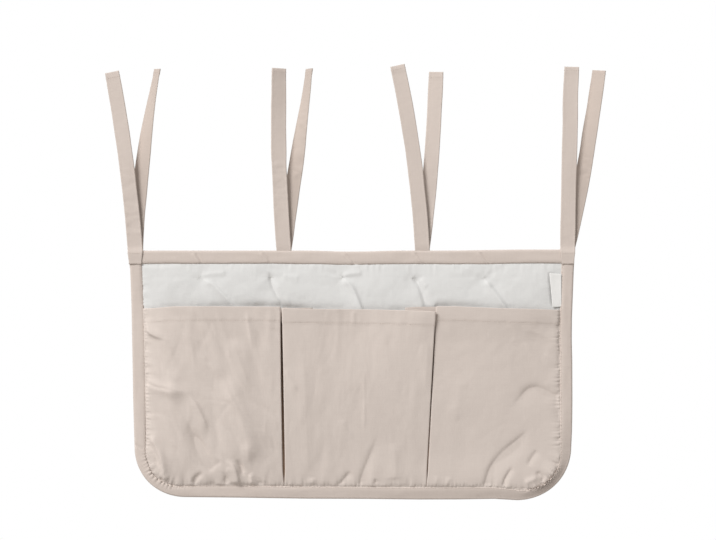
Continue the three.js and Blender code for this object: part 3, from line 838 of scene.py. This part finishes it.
LEFT_DIVIDER = {"top": -93, "bottom": -89.5, "slit": 4}
RIGHT_DIVIDER = {"top": 112, "bottom": 100, "slit": 2.1}
PLEAT_DEPTH = 40
PLEAT_BOTTOM = POCKET_BOTTOM + 28
CURL = 1.0
SIDE_RISE = 95


def pocket_share(z):
    """From 0 at the pockets' bottom seam to 1 at their top."""
    return (z - POCKET_BOTTOM) / (POCKET_TOP - POCKET_BOTTOM)


def divider_x(divider, z):
    return divider["bottom"] + (divider["top"] - divider["bottom"]) * pocket_share(z)


def half_slit(divider, z):
    """Half the width of a slit, which widens on its way down and closes at the bottom seam."""
    wider = 0.7 + 0.22 * ease(POCKET_TOP, -190, z)
    return divider["slit"] / 2 * wider * (0.25 + 0.75 * ease(POCKET_BOTTOM, POCKET_BOTTOM + 26, z))


def left_of(divider):
    return lambda z: divider_x(divider, z) - half_slit(divider, z)


def right_of(divider):
    return lambda z: divider_x(divider, z) + half_slit(divider, z)


def middle_gape(x, up):
    """The middle pocket's mouth lies flatter in the middle, and opens at its right corner."""
    flatter = 0.6 * bell(x - 12, 58) * ease(0.55, 1, up)
    opened = 2.4 * ease(0.86, 1, up) * ease(70, 112, x)
    return 9.5 * (1 - flatter) - 1.2 * ease(60, 112, x) + opened


# Each fold: its line in x and z, its height, its width on the left and on the right, and the shares of
# the line over which its two ends fade
LEFT_FOLDS = (
    ([(-273, -178), (-253, -182), (-229, -185), (-213, -190), (-203, -198)], 2.5, 8, 11, 0.05, 0.5),
    ([(-277, -175), (-266, -179), (-250, -183), (-231, -184), (-222, -189)], -1.2, 2.5, 3, 0, 0.7),
    (
        [(-222, -188), (-211, -196), (-203, -208), (-197, -222), (-191, -236), (-184, -246)],
        1.5, 3, 10, 0.35, 0.35,
    ),
    ([(-219, -221), (-213, -238), (-200, -258), (-191, -280), (-188, -300)], -3.2, 5, 9, 0.5, 0.3),
    (
        [(-176, -167), (-163, -188), (-150, -212), (-141, -239), (-137, -262), (-136, -286)],
        2.8, 14, 11, 0.3, 0.2,
    ),
    ([(-160, -114), (-150, -139), (-139, -170), (-134, -194)], 1.0, 6, 11, 0.25, 0.4),
    ([(-139, -80), (-136, -101), (-130, -135)], 0.7, 5, 2.5, 0.2, 0.4),
    ([(-276, -103), (-267, -111), (-252, -117), (-238, -120)], 2.8, 8, 2.6, 0, 0.8),
    ([(-251, -114), (-239, -135), (-229, -159)], 0.8, 6, 6, 0.2, 0.5),
    ([(-203, -133), (-186, -151), (-170, -173)], 0.9, 6, 8, 0.3, 0.4),
    ([(-271, -247), (-259, -260), (-253, -275), (-250, -292), (-249, -308)], 2.2, 6.5, 3, 0.15, 0.1),
    ([(-273, -256), (-263, -265), (-258, -276), (-257, -290)], -0.9, 3, 4, 0.2, 0.3),
    ([(-209, -317), (-209, -306), (-204, -300), (-193, -293)], -2.0, 3, 3, 0, 0.6),
    ([(-192, -294), (-178, -284), (-170, -279)], -0.7, 6, 2.5, 0.3, 0.3),
    ([(-172, -281), (-160, -281), (-153, -292), (-150, -315)], 1.9, 3, 9, 0.5, 0),
    ([(-168, -317), (-166, -304), (-170, -293)], -2.0, 3.5, 4, 0, 0.6),
    ([(-154, -276), (-147, -285), (-144, -300)], -1.0, 3, 3, 0.4, 0.3),
    ([(-136, -296), (-133, -304), (-131, -315)], 1.4, 4, 2, 0.3, 0),
    ([(-187, -317), (-186, -306)], -1.2, 2.5, 3, 0, 0.6),
    ([(-122, -316), (-121, -306)], -0.9, 3, 3, 0, 0.6),
)
MIDDLE_FOLDS = (
    ([(-89, -157), (-79, -173), (-70, -191)], 0.8, 4, 6, 0.2, 0.4),
    ([(-63, -130), (-61, -199), (-59, -253), (-57, -298)], 0.9, 7, 12, 0.3, 0.15),
    ([(-51, -311), (-51, -301)], 1.2, 5, 3, 0, 0.6),
    ([(1, -292), (-9, -302), (-18, -315)], -1.5, 6, 2.5, 0.3, 0),
    ([(38, -236), (27, -266), (17, -290), (9, -315)], -1.5, 9, 3, 0.6, 0),
    ([(33, -303), (28, -316)], -1.2, 4, 2, 0.3, 0),
    ([(-18, -223), (-7, -238), (3, -253)], 0.5, 5, 4, 0.3, 0.3),
    ([(17, -152), (17, -250)], 0.32, 2, 2, 0.3, 0.3),
    ([(3, -79), (3, -103)], 0.5, 3, 3, 0.2, 0.4),
    ([(57, -253), (59, -306)], 0.9, 6, 12, 0.3, 0.1),
    ([(101, -114), (97, -194)], 0.7, 8, 7, 0.3, 0.3),
)
RIGHT_FOLDS = (
    ([(222, -105), (249, -109), (277, -126)], 0.8, 8, 5, 0.3, 0),
    ([(229, -121), (243, -141), (257, -162)], 0.5, 5, 5, 0.2, 0.4),
    ([(254, -135), (267, -146), (277, -149)], 0.5, 5, 4, 0.3, 0),
    (
        [(280, -200), (263, -189), (249, -182), (238, -182), (230, -188), (221, -199), (208, -216)],
        -2.0, 14, 4, 0, 0.5,
    ),
    (
        [(240, -235), (229, -244), (218, -255), (204, -266), (191, -279), (182, -293), (176, -317)],
        -2.0, 15, 3, 0.3, 0,
    ),
    ([(215, -286), (207, -299), (203, -306), (201, -317)], -1.6, 5, 2, 0.3, 0),
    ([(248, -265), (239, -276), (233, -288)], -1.2, 5, 2.5, 0.2, 0.3),
    ([(243, -297), (250, -296), (256, -301), (255, -310)], -2.0, 2, 4, 0.3, 0.2),
    ([(230, -310), (241, -305), (249, -302)], 1.5, 4, 4, 0.2, 0.3),
    ([(129, -310), (131, -300)], 1.1, 5, 3, 0, 0.6),
    ([(113, -310), (115, -298)], 0.8, 5, 3, 0, 0.6),
    ([(147, -157), (137, -231)], 0.8, 14, 12, 0.3, 0.3),
)

# Each pocket: its side edges, the distance from its sewn side, which of its side edges are free, how far
# it stands out, its top line, its folds, the span, count, lean, spread and depth of its small creases,
# and how strongly its folds are creased
TUCKED = BINDING_WIDTH - TUCK
POCKETS = {
    "left_pocket": {
        "left": lambda z: -half_width(z, TUCKED),
        "right": left_of(LEFT_DIVIDER),
        "sewn": lambda x, z: x + half_width(z, BINDING_WIDTH),
        "free": (False, True),
        "gape": lambda x, up: 9.5,
        "top": [(-285, -77.5), (-262, -76.5), (-235, -74), (-180, -74), (-95, -74.5)],
        "folds": LEFT_FOLDS,
        "crumple": ((-285, -92), 110, -62, 26, 0.75),
        "crease": 1.75,
        "seed": 61,
    },
    "middle_pocket": {
        "left": right_of(LEFT_DIVIDER),
        "right": left_of(RIGHT_DIVIDER),
        "sewn": lambda x, z: 2 * SIDE_RISE,
        "free": (True, True),
        "gape": middle_gape,
        "top": [(-92, -76.5), (-40, -77.5), (40, -78.5), (75, -79.5), (112, -81)],
        "folds": MIDDLE_FOLDS,
        "crumple": ((-90, 110), 90, 86, 11, 0.34),
        "crease": 1.25,
        "seed": 71,
    },
    "right_pocket": {
        "left": right_of(RIGHT_DIVIDER),
        "right": lambda z: half_width(z, TUCKED),
        "sewn": lambda x, z: half_width(z, BINDING_WIDTH) - x,
        "free": (True, False),
        "gape": lambda x, up: 5.2 - 0.6 * ease(112, 150, x) - 0.6 * ease(190, 280, x),
        "top": [(112, -74.2), (138, -74), (195, -76.5), (240, -77.5), (285, -79.5)],
        "folds": RIGHT_FOLDS,
        "crumple": ((112, 285), 80, 62, 30, 0.13),
        "crease": 1.1,
        "seed": 81,
    },
}


def pocket_middle(pocket, x, z):
    """The middle of a pocket's cloth: it bellies out from its sewn edges and carries its folds."""
    seed = pocket["seed"]
    up = np.clip(pocket_share(z), 0, 1)
    across = np.clip(pocket["sewn"](x, z) / (SIDE_RISE + 35 * ease(100, 190, x)), 0, 1)
    belly = (1 - (1 - up) ** 1.4) * (1 - (1 - across) ** 2)
    run = edge_run(x, z)
    inside = BINDING_WIDTH + binding_inset(x, z) - corner_narrowing(run) - edge_distance(x, z)
    edge = np.maximum(-inside, 0)
    held = ease(0, 6, edge)
    corner = near_corner(run, 0.5, 0.5, 4)
    low, lower = ease(-290, -305, z), ease(-270, -305, z)
    roll = 0.35 + 0.85 * ease(150, -150, x)
    roll = roll + (0.9 - roll) * lower
    reach = 4.5 - 2 * lower
    span = 0.25 * ease(-262, -300, z)
    spanned = span * CROWN * (1 - quilt_rise(x, z)) * swelling(edge, 3)
    lift = pocket["gape"](x, up) * belly + spanned + roll * swelling(edge, reach)
    lift = lift + 0.9 * belly * ripple((0.8 * x + 0.6 * z) / 62, (0.8 * z - 0.6 * x) / 80, seed)
    for draw, fine in ((seed, 1.0), (seed + 1, 0.45)):
        lift = lift + held * crumple(x, z, *pocket["crumple"], draw, fine)
    for crease in pocket["folds"]:
        lift = lift + pocket["crease"] * held * fold(x, z, *crease)
    puffs = (stitch_wave(run, SIDE_SEAM) - 0.5) * (1 + 0.8 * sway(run / 9, seed + 2)) * bell(edge, 2.8, 1.5)
    puffs = puffs * (0.7 + (1 - low) * (1.5 * ease(-150, -280, x) + 0.6 * ease(150, 270, x)))
    fuller = 0.6 * low + 1.3 * corner * (1 + 0.6 * ease(0, 200, x))
    deeper = 1.1 + (1 - low) * ease(150, 270, np.abs(x)) + 0.8 * corner
    puckers = puffs + gathers(run, edge, 3, 0.7, 6, seed + 3)
    puckers = puckers + fuller * gathers(run, edge, 6, 1.4, 9, seed + 6)
    puckers = puckers + dents(run, edge, 6, deeper, 5, seed + 8)
    scallops = (1 + 0.9 * sway(run / 16, seed + 10)) * swelling(edge, 2.5) * bell(edge, 18)
    lift = lift + ease(200, 275, x) * (1 - low) * scallops
    lift = lift + (0.3 + 0.7 * ease(180, 260, x)) * swelling(edge, 0.9) * np.exp(-edge / 12)
    tucked = (0.6 + table(DROOP, run - HALF_RUN)) * np.clip(inside / (BINDING_WIDTH - BINDING_HALF), 0, 1)
    face = np.minimum(quilt_envelope(x, z), QUILT_EDGE) - 0.8 + tucked
    return face - np.maximum(lift + ease(0, 2, edge) * puckers, -0.4 * held)


def pocket_rows():
    near = POCKET_TOP - np.array([0, 0.15, 0.4, 0.8, 1.4, 2.2])
    return np.concatenate([near, heights_down(POCKET_TOP - 4, TUCKED, 1.15, 52)])


def top_shift(pocket, x, z):
    """How far a pocket's cloth moves up or down, so that its top follows a line of its own."""
    return (table(pocket["top"], x) - POCKET_TOP) * ease(-150, POCKET_TOP, z)


def pocket_grid(pocket):
    """The middle of a pocket's cloth as a grid, with its free side edges curled back.

    Gives the grid and how far each point lies below the pocket's top line."""
    free_left, free_right = pocket["free"]
    rows = pocket_rows()[:, None]
    low = pocket["left"](rows) + CURL * free_left
    high = pocket["right"](rows) - CURL * free_right
    x = low + (high - low) * np.linspace(0, 1, 172)
    z = rows + top_shift(pocket, x, rows)
    grid = grid_of(x, pocket_middle(pocket, x, z), z)
    turn = np.linspace(0, math.pi, 7)[1:]
    curl_x = np.concatenate([CURL * np.sin(turn), (-2.0, -4.0, -6.5)])
    curl_y = np.concatenate([CURL * (1 - np.cos(turn)), np.full(3, 2 * CURL)])
    parts = [grid]
    if free_left:
        parts.insert(0, grid[:, :1] + grid_of(-curl_x, curl_y, 0)[::-1])
    if free_right:
        parts.append(grid[:, -1:] + grid_of(curl_x, curl_y, 0))
    grid = np.concatenate(parts, 1)
    return grid, table(pocket["top"], grid[..., 0]) - grid[..., 2]


def make_pocket(name):
    """A pocket front with its thicker hem and the stitches along it."""
    pocket = POCKETS[name]
    seed = pocket["seed"]
    grid, drop = pocket_grid(pocket)
    x = grid[..., 0]
    in_hem = ease(HEM_DEPTH + 0.5, HEM_DEPTH - 0.5, drop)
    near = ease(3, 9, edge_distance(x, grid[..., 2]) - BINDING_WIDTH + 3)
    thickness = (CLOTH + (HEM - CLOTH) * in_hem * near) * rim(drop, 0.8)
    grid[..., 1] += (0.35 + 0.2 * sway(x / 3.1, seed + 5)) * bell(drop - HEM_SEAM, 0.9)
    grid[..., 1] += 0.35 * sway(x / 12, seed + 6) * bell(drop - HEM_DEPTH, 9) * near
    piece = cloth(f"{name}_front", grid, thickness, sand, grid[..., [0, 2]])
    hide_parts(name)
    seam = []
    for column in range(2, grid.shape[1] - 2):
        order = np.argsort(drop[:, column])
        below, points = drop[order, column], grid[order, column]
        seam.append([np.interp(HEM_SEAM, below, points[:, axis]) for axis in range(3)])
    free_left, free_right = pocket["free"]
    seam = np.array(seam)[8 * free_left : len(seam) - 8 * free_right] - (0, 0.75, 0)
    hem = f"{name}_hem_stitches"
    stitches = sew(hem, [seam], sand_thread, pitch=3.0, stitch=2.2, thread=0.5, seed=seed)
    for part in (piece, stitches):
        if name == "middle_pocket":
            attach(part, name)
        else:
            sign = -1 if name == "left_pocket" else 1
            Vector((sign * 0.283, 0, -0.2))
            Vector((sign * 0.170, 0, -0.2))
            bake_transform(part)


def underlay_middle(x, z):
    return quilt_envelope(x, z) - 0.4 - 0.3 * ease(PLEAT_BOTTOM, PLEAT_BOTTOM + 20, z)


PLEATS = (
    ("left_pocket_pleat", "left_pocket", "right", -1),
    ("middle_pocket_left_pleat", "middle_pocket", "left", 1),
    ("middle_pocket_right_pleat", "middle_pocket", "right", -1),
    ("right_pocket_pleat", "right_pocket", "left", 1),
)


def pleat_rows():
    rows = pocket_rows()
    return np.concatenate([rows[rows > PLEAT_BOTTOM + 1], [PLEAT_BOTTOM]])


def make_pleats():
    """The cloth folded back behind each free pocket edge."""
    share = np.linspace(0, 1, 16)[None]
    for name, body, side, inward in PLEATS:
        pocket = POCKETS[body]
        z = pleat_rows()[:, None]
        front = pocket[side](z) + inward * 1.6
        hidden = pocket[side](z) + inward * PLEAT_DEPTH
        x = hidden + (front - hidden) * share
        z = z + top_shift(pocket, front, z) * share
        start = underlay_middle(hidden, z[:, :1]) - 1.0
        end = pocket_middle(pocket, front, z[:, :1]) + 2 * CURL + 0.9
        y = start + (end - start) * share**1.2
        grid = grid_of(x, y, z)[:, ::-inward]
        thickness = CLOTH * rim(POCKET_TOP - z, 0.4)
        # The fold's cloth darkens lower down: painted shade for the shadow inside the pleat.
        piece = cloth(f"{name}_fold", grid, thickness, sand_painted_shade, grid[..., [0, 2]])
        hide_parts(name)
        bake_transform(piece)


def make_underlays():
    """The bottom layer of each pleat, laid on the quilt."""
    rows = np.append(pleat_rows(), np.linspace(PLEAT_BOTTOM, POCKET_BOTTOM + 5, 8)[1:])[:, None]
    for side, divider in (("left", LEFT_DIVIDER), ("right", RIGHT_DIVIDER)):
        name = f"{side}_divider_underlay"
        low, high = left_of(divider)(rows) - PLEAT_DEPTH, right_of(divider)(rows) + PLEAT_DEPTH
        x = low + (high - low) * np.linspace(0, 1, 42)
        if divider is RIGHT_DIVIDER:
            rise = 1.8 * ease(low.min(), low.min() + 30, x) - 0.6
        else:
            rise = 5.4 * bell(x - divider["top"] - 5, 11) - 5
        z = rows + rise * ease(-110, POCKET_TOP, rows)
        grid = grid_of(x, underlay_middle(x, z), z)
        thickness = CLOTH * rim(POCKET_TOP - z + rise, 0.4)
        # The underlay's cloth darkens lower down: painted shade for the shadow in the slit.
        piece = cloth(f"{name}_cloth", grid, thickness, sand_painted_shade, grid[..., [0, 2]])
        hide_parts(name)
        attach(piece, "panel")
        flat = (float((high - low).mean()) * MM, float(np.ptp(z)) * MM)


# Ties

TIE_WIDTH = 20
TIE_LENGTH = 244
TIE_OFFSET = 2
TIE_LEAN = math.radians(0.6)
TIE_AXIS_Z = 0.58
SEWN_END = 19
SEWN_HEIGHTS = (-3.2, -17.2)
TIE_HEM_SEAM = 6.2
TIE_SEAM_COLUMN = 17
TURNED_TWIST = 30
# Each tie: its pair, its place, how far its tip leans over, its bow, its twist in degrees, and how much
# longer it is than the others
TIES = (
    (1, "front", -31, 3.5, 8, -5),
    (1, "rear", 29, -5, 60, 0),
    (2, "front", -6, -3.6, -14, -2),
    (2, "rear", 34, 0, 62, 1),
    (3, "front", -33, 5, 5, 4),
    (3, "rear", 19, 2.5, 10, -5),
    (4, "front", 5, -0.5, 4, 0),
    (4, "rear", 43, 3, 32, 0),
)


def tie_root_x(pair):
    if pair in (1, 4):
        return (1 if pair == 4 else -1) * (TOP_HALF - TIE_WIDTH / 2)
    low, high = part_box(f"tie_{pair}_root")
    return (low.x + high.x) / 2 / MM


def tie_seams(grid, thickness, along, free_rows, sewn_face):
    """Lines down both faces of a tie and across its hem, and two across the face where it is sewn on."""
    normal, half = normals(grid), thickness[..., None] / 2
    hem_row = np.argmin(np.abs(along[:, 0] - TIE_HEM_SEAM))
    lines = []
    for face in (1, -1):
        skin = grid + face * normal * (half + 0.02)
        lines += [skin[9 : free_rows - 1, TIE_SEAM_COLUMN], skin[hem_row, 2:-2]]
    if sewn_face:
        skin = grid + sewn_face * normal * (half + 0.05)
        for height in SEWN_HEIGHTS:
            lines.append(skin[np.argmin(np.abs(grid[:, 10, 2] - height)), 1:-1])
    return lines


def make_tie(pair, place, tip, bow, twist, trim):
    """A tape that stands up from the top edge. Outer ones are sewn on, others caught in the binding."""
    name = f"tie_{pair}_{place}"
    sign = -1 if place == "front" else 1
    outer = pair in (1, 4)
    seed = 10 * pair + (place == "rear")
    reach = SEWN_END if outer else 3
    free = np.concatenate([[1, 0.9992, 0.998, 0.995], np.linspace(0.99, 0, 96)])
    below = np.linspace(0, reach, 14 if outer else 5)[1:]
    share = np.concatenate([free, 0 * below])[:, None]
    drop = np.concatenate([0 * free, below])[:, None]
    half = [1, 0.99, 0.965, 0.92, 0.86, 0.78, 0.64, 0.48, 0.32, 0.16]
    column = np.array([-v for v in half] + [0] + half[::-1])[None]
    length = TIE_LENGTH + trim
    rise = math.sqrt(length**2 - tip**2)
    slope = np.arctan2(tip + 4 * bow * (1 - 2 * share), rise)
    tilt = slope * ease(0, 0.2, share)
    turn = math.radians(twist) * ease(0.25, 1, share)
    wide = 1 - 0.04 * ease(0.9, 1, share) + 0.03 * sway(share * 9, seed)
    offset = column * TIE_WIDTH / 2 * (wide - 0.19 * ease(0, SEWN_END, drop) * outer)
    centre_x = tip * share + 4 * bow * share * (1 - share)
    centre_x = centre_x + 0.7 * sway(share * 6, seed + 1) * ease(0, 0.2, share)
    centre_z = rise * share - drop
    cup = 0.5 * sway(share * 5, seed + 2) * (column**2 - 0.4) * ease(0, 0.15, share)
    wave = 0.8 * sway(share * 4, seed + 3) * ease(0.1, 0.5, share)
    turned = abs(twist) > TURNED_TWIST
    creased = (0.75 if turned else 0.42) * ease(-0.2, 0.7, sway(share * 7, seed + 5))
    wrinkle = creased * ripple(share * 62, column, seed + 4)
    x = centre_x + offset * (np.cos(tilt) * np.cos(turn))
    y = offset * -np.sin(turn) + cup + wave + wrinkle
    z = centre_z + offset * (-np.sin(tilt) * np.cos(turn))
    lean = -sign * TIE_LEAN
    y, z = y * math.cos(lean) - z * math.sin(lean), y * math.sin(lean) + z * math.cos(lean)
    x = x + tie_root_x(pair)
    z = z + TIE_AXIS_Z
    if outer:
        root = TIE_OFFSET + 2.1 * ease(6, -4, z) - 0.3 * ease(-8, -17, z)
    else:
        root = 1 + (TIE_OFFSET - 1) * ease(-3, 7, z)
    grid = grid_of(x, y * ease(-2, 10, z) + sign * root, z)
    along = (1 - share) * length + drop
    body = 1.25 + 0.35 * bell(np.abs(column) - 0.86, 0.09) - 0.2 * bell(column - 0.74, 0.05)
    hem = 1 + 0.55 * ease(9.5, 8, along) - 0.3 * bell(along - TIE_HEM_SEAM, 0.7)
    ends = rim(along, 0.7) * rim(np.maximum(length + reach - along, 0), 0.7)
    sewn = 1 - 0.6 * ease(2, 14, drop) * outer
    thickness = body * hem * sewn * rim((1 - np.abs(column)) * TIE_WIDTH / 2, 0.8) * ends
    uv = np.stack(np.broadcast_arrays(offset, along), -1)
    # A strongly twisted tie takes the darker copy of the tape: painted shade.
    piece = cloth(f"{name}_tape", grid, thickness, tape_painted_shade if turned else sand_tape, uv)
    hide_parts(name, *([f"tie_{pair}_root"] if place == "front" else []))
    lines = tie_seams(grid, thickness, along, len(free), -sign if outer else 0)
    stitches = sew(f"{name}_stitches", lines, sand_thread, pitch=2.9, stitch=2.1, thread=0.42, seed=seed)
    start = Vector((tie_root_x(pair) * MM, sign * TIE_OFFSET * MM, 0.002))
    for part in (piece, stitches):
        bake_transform(part)
    flat = (TIE_WIDTH * MM, (length + reach) * MM)


# Label


def make_label(skin):
    """A bare folded tab, sewn in at its right edge, its free edge lifted a little."""
    low, high = (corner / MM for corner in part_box("label"))
    root_x = high.x + 1.2
    width = root_x - low.x
    z = np.linspace(high.z - 2.5, low.z, 60)[:, None]
    share = (high.z - z) / (high.z - low.z)
    gap = 0.35
    turn = np.linspace(-math.pi / 2, math.pi / 2, 9)
    flat = np.linspace(0, 1, 14)[:-1]
    out = np.concatenate([flat, 1 + gap / width * np.cos(turn), flat[::-1]])[None]
    through = np.concatenate([np.full(13, -gap), gap * np.sin(turn), np.full(13, gap)])[None]
    reach = width * (1 - 0.27 * share)
    lift = 1.1 * out**1.6 * (0.7 + 0.6 * share) + 0.25 * ripple(share * 3, out * 2, 5)
    x = root_x - reach * out
    y = -2.9 + through * (0.4 + 0.6 * out) - lift
    face = skin_height(skin, np.minimum(x, root_x - 1.5), z + 0 * x, -1)
    y = np.minimum(y, face - 0.5 + through)
    grid = grid_of(x, y, z + 1.6 * out * (1 - share) - 0.6 * out * share)[:, ::-1]
    thickness = 0.3 * rim(np.minimum(z - low.z, z.max() - z), 0.2)
    piece = cloth("label_tab", grid, thickness, satin)
    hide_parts("label")
    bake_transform(piece)


quilt_skin = make_quilt()
make_tacks(quilt_skin)
make_side_binding()
make_top_binding()
for pocket_name in POCKETS:
    make_pocket(pocket_name)
make_pleats()
make_underlays()
for strand in TIES:
    make_tie(*strand)
make_label(quilt_skin)


# Stage, light and camera

FLOOR_HALF = 8.0
FLOOR_Z = -0.62
LAMPS = (
    ("key", (-9.2, -10.4, 11.6), 8, 3200),
    ("rear", (7.2, 10.8, 8.8), 6.4, 1700),
)
VIEW_WIDTH = 0.9547
VIEW_DISTANCE = 2.2


def seen_ray(start):
    """1 for the rays that show a surface itself, 0 for those that only carry its light."""
    kinds = (f"Is {name} Ray" for name in ("Camera", "Glossy", "Transmission"))
    camera, glossy, clear = (start.node("ShaderNodeLightPath", output=kind) for kind in kinds)
    return camera.math("MAXIMUM", camera.math("MAXIMUM", camera, glossy), clear)


def make_floor():
    finish, start = new_tree("pale_floor")
    place = start.node("ShaderNodeTexCoord", output="Object")
    far = start.node("ShaderNodeVectorMath", {"operation": "LENGTH"}, {0: place}, output="Value")
    limits = {0: far, 1: 0.5, 2: 1.3, 3: 0.4, 4: 1.0}
    beyond = start.node("ShaderNodeMapRange", {"interpolation_type": "SMOOTHSTEP"}, limits)
    pale = start.node("ShaderNodeBsdfDiffuse", inputs={"Color": (0.86, 0.86, 0.86, 1)})
    dull = start.node("ShaderNodeBsdfDiffuse", inputs={"Color": (0.41, 0.395, 0.38, 1)})
    glow = start.node("ShaderNodeEmission", inputs={"Color": (1, 1, 1, 1), "Strength": 1.0})
    lit = start.node("ShaderNodeMixShader", inputs={0: beyond, 1: pale, 2: glow})
    mixed = start.node("ShaderNodeMixShader", inputs={0: seen_ray(start), 1: dull, 2: lit})
    start.node("ShaderNodeOutputMaterial", inputs={"Surface": mixed})
    corners = [(x * FLOOR_HALF, y * FLOOR_HALF, 0) for x, y in ((-1, -1), (1, -1), (1, 1), (-1, 1))]
    mesh = bpy.data.meshes.new("floor")
    mesh.from_pydata(corners, [], [(0, 1, 2, 3)])
    mesh.materials.append(finish)
    floor = put("floor", mesh)
    floor.location.z = FLOOR_Z


def make_light():
    world = bpy.data.worlds.new("studio")
    bpy.context.scene.world = world
    world.use_nodes = True
    world.node_tree.nodes.clear()
    start = Wire(world.node_tree)
    soft = start.node("ShaderNodeBackground", inputs={"Color": (1, 0.98, 0.96, 1), "Strength": 0.33})
    bright = start.node("ShaderNodeBackground", inputs={"Color": (1, 1, 1, 1), "Strength": 1.0})
    mixed = start.node("ShaderNodeMixShader", inputs={0: seen_ray(start), 1: soft, 2: bright})
    start.node("ShaderNodeOutputWorld", inputs={"Surface": mixed})
    for name, place, size, power in LAMPS:
        lamp = bpy.data.lights.new(name, "AREA")
        lamp.shape = "DISK"
        lamp.size = size
        lamp.energy = power
        holder = put(name, lamp)
        holder.location = place
        holder.rotation_euler = (Vector((0, 0, -0.1)) - holder.location).to_track_quat("-Z", "Y").to_euler()


def make_camera():
    """Square on, with VIEW_WIDTH metres of the panel's plane across the picture."""
    data = bpy.data.cameras.new("camera")
    data.sensor_width = 36
    data.lens = data.sensor_width * VIEW_DISTANCE / VIEW_WIDTH
    camera = put("camera", data)
    camera.location = (0.0087, -VIEW_DISTANCE, -0.026)
    camera.rotation_euler = (math.pi / 2, 0, 0)
    bpy.context.scene.camera = camera


make_floor()
make_light()
make_camera()
bpy.context.scene.view_settings.view_transform = "Standard"
